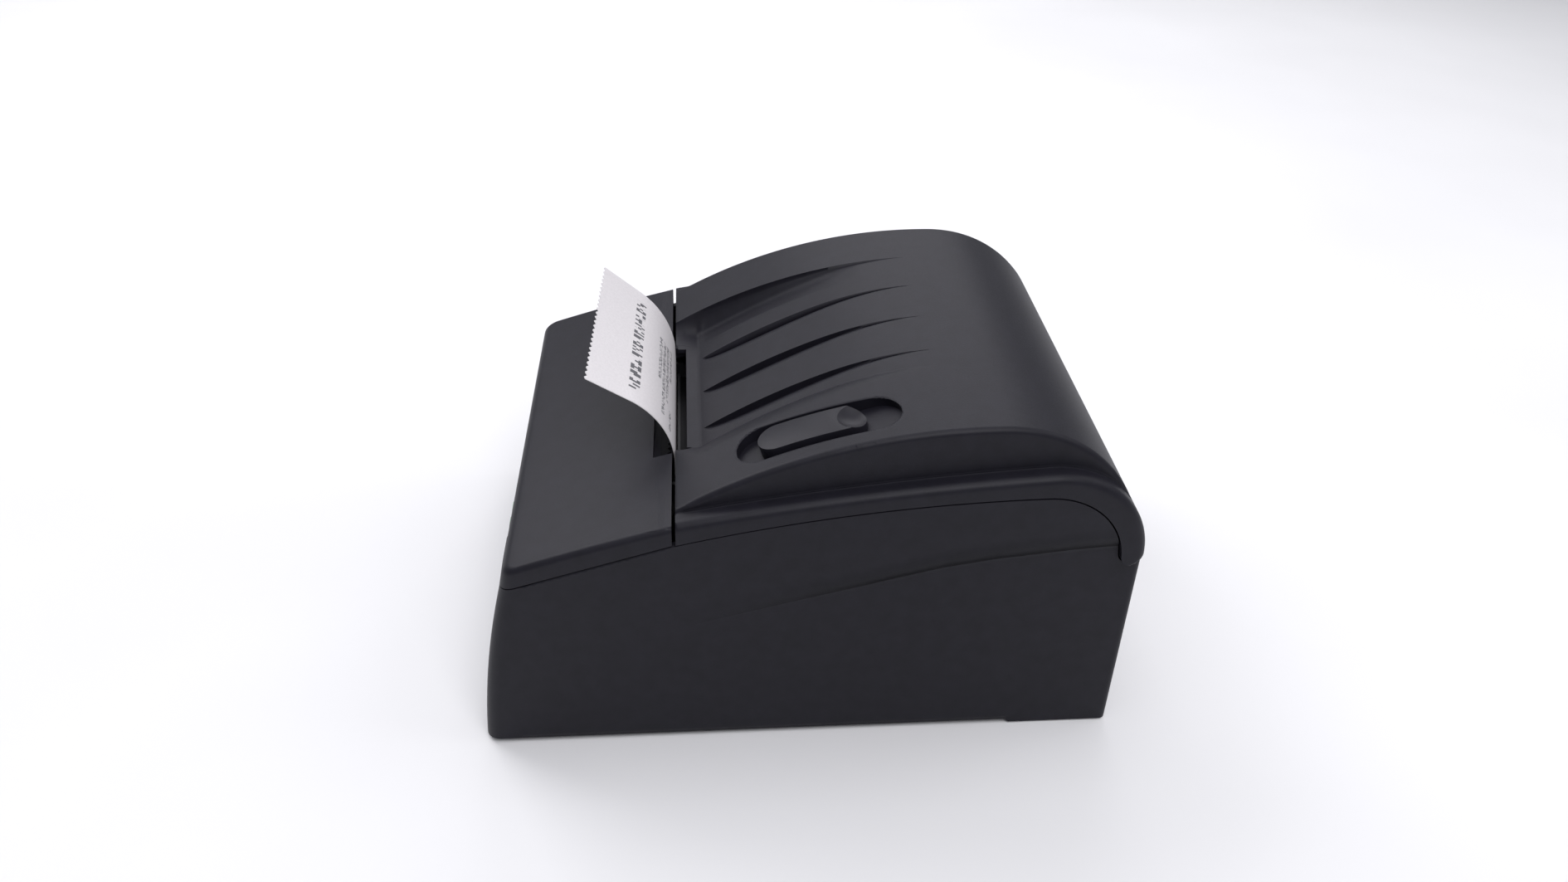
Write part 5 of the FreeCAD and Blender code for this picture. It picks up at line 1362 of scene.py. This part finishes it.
CASING = ((0.0092, 0.0088, 0.0132), 1.3, 0.46, 0.3, 0.22)
FINISHES: Dict[str, Finish] = {
    "inner": MouldedPlastic("inner_plastic", (0.014, 0.014, 0.016), 1.4, 0.45, 0.3),
    "feet": SoftRubber("foot_rubber", (0.012, 0.012, 0.012)),
    "steel": BareMetal("zinc_steel", (0.62, 0.62, 0.63)),
    "platen": SoftRubber("platen_rubber", (0.02, 0.02, 0.02)),
    "gear": MouldedPlastic("gear_acetal", (0.72, 0.7, 0.64), 1.08, 0.4, 0.2),
    "bush": MouldedPlastic("bush_plastic", (0.1, 0.1, 0.1), 1.2, 0.5, 0.2),
    "motor": BareMetal("motor_plate", (0.55, 0.55, 0.56), 0.4),
    "board": CircuitBoard("solder_mask"),
    "port": BareMetal("port_plate", (0.66, 0.66, 0.66), 0.28),
    "button": MouldedPlastic("button_plastic", (0.0098, 0.0094, 0.0138), 1.3, 0.42, 0.25, 0.25),
    "lens": MouldedPlastic("lens_plastic", (0.3, 0.5, 0.32), 1.1, 0.2, 0.1),
    "ceramic": MouldedPlastic("head_ceramic", (0.66, 0.65, 0.62), 1.05, 0.25, 0.1),
    "aluminium": BareMetal("sink_aluminium", (0.7, 0.7, 0.71), 0.38),
    "paper": WoundPaper("wound_paper", ROLL_CENTRE),
    "core": MouldedPlastic("core_board", (0.42, 0.31, 0.2), 1.2, 0.8, 0.5),
    "blackened": BareMetal("blackened_steel", (0.02, 0.02, 0.022), 0.5),
    "casing": MouldedPlastic("casing_plastic", *CASING),
    # flank plastic with painted shade in a band over the crease
    "flank": ShadePaintedPlastic("flank_plastic_painted_shade", *CASING),
}
# Nodes in the paper slot that are shown darker than their slot says.
DARK_NODES = {"mechanism_frame": "inner", "head_heatsink": "blackened", "thermal_head": "inner"}
# Nodes that are shown smooth, with the radius of their rounded edges.
SMOOTHED = {
    "release_button": 0.35, "paper_roll": 0.0, "roll_core": 0.0, "rubber_feet": 0.0, "platen_shaft": 0.0,
    "platen_rubber": 0.0, "platen_bushes": 0.0, "stepper_motor": 0.0, "motor_shaft": 0.0, "hinge_pins": 0.0,
    "paper_bin": 0.0, "power_rocker": 0.25, "feed_button": 0.25, "head_springs": 0.0, "bottom_screws": 0.0,
    "status_lenses": 0.0}
# Printed rows: distance from the torn edge, height, first and last place across, pitch of the marks.
PRINT_ROWS = ((13.2, 3.6, 6.0, 57.0, 3.4), (23.6, 1.5, 16.0, 40.0, 1.3), (25.7, 1.5, 16.0, 57.0, 1.3),
              (27.8, 1.5, 16.0, 48.0, 1.3), (30.2, 1.4, 14.0, 33.0, 1.3), (30.2, 1.4, 50.0, 60.0, 1.3))


def node_slots() -> Dict[str, str]:
    """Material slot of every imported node, by its name."""
    return {entry["node"]: entry["material_slot"] for entry in frame["record"]["subparts"]}


def dress_nodes(shown: Dict[str, Material]) -> None:
    """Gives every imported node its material.

    Args:
        shown: Materials by slot name.
    """
    slots = node_slots()
    for name, item in frame["nodes"].items():
        material = shown[DARK_NODES.get(name, slots[name])]
        if item.material_slots:
            for place in item.material_slots:
                place.material = material
        else:
            item.data.materials.append(material)


def main() -> None:
    """Builds the looks in order."""
    logging.basicConfig(level=logging.INFO, format="%(message)s")
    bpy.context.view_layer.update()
    shown = {name: finish.build() for name, finish in FINISHES.items()}
    dress_nodes(shown)
    # the base's flanks carry painted shade over the crease
    Base(shown["flank"]).build()
    FrontCover(shown["casing"]).build()
    Lid(shown["casing"]).build()
    LidLining(shown["casing"]).build()
    Receipt(PrintedPaper("receipt_paper_print", PRINT_ROWS).build()).build()
    TearBar(shown["blackened"]).build()
    slots = node_slots()
    for name, edge in SMOOTHED.items():
        SmoothPart(shown[slots[name]], name, slots[name], edge).build()
    Studio().build()
    LOG.info("done")


if __name__ == "__main__":
    main()
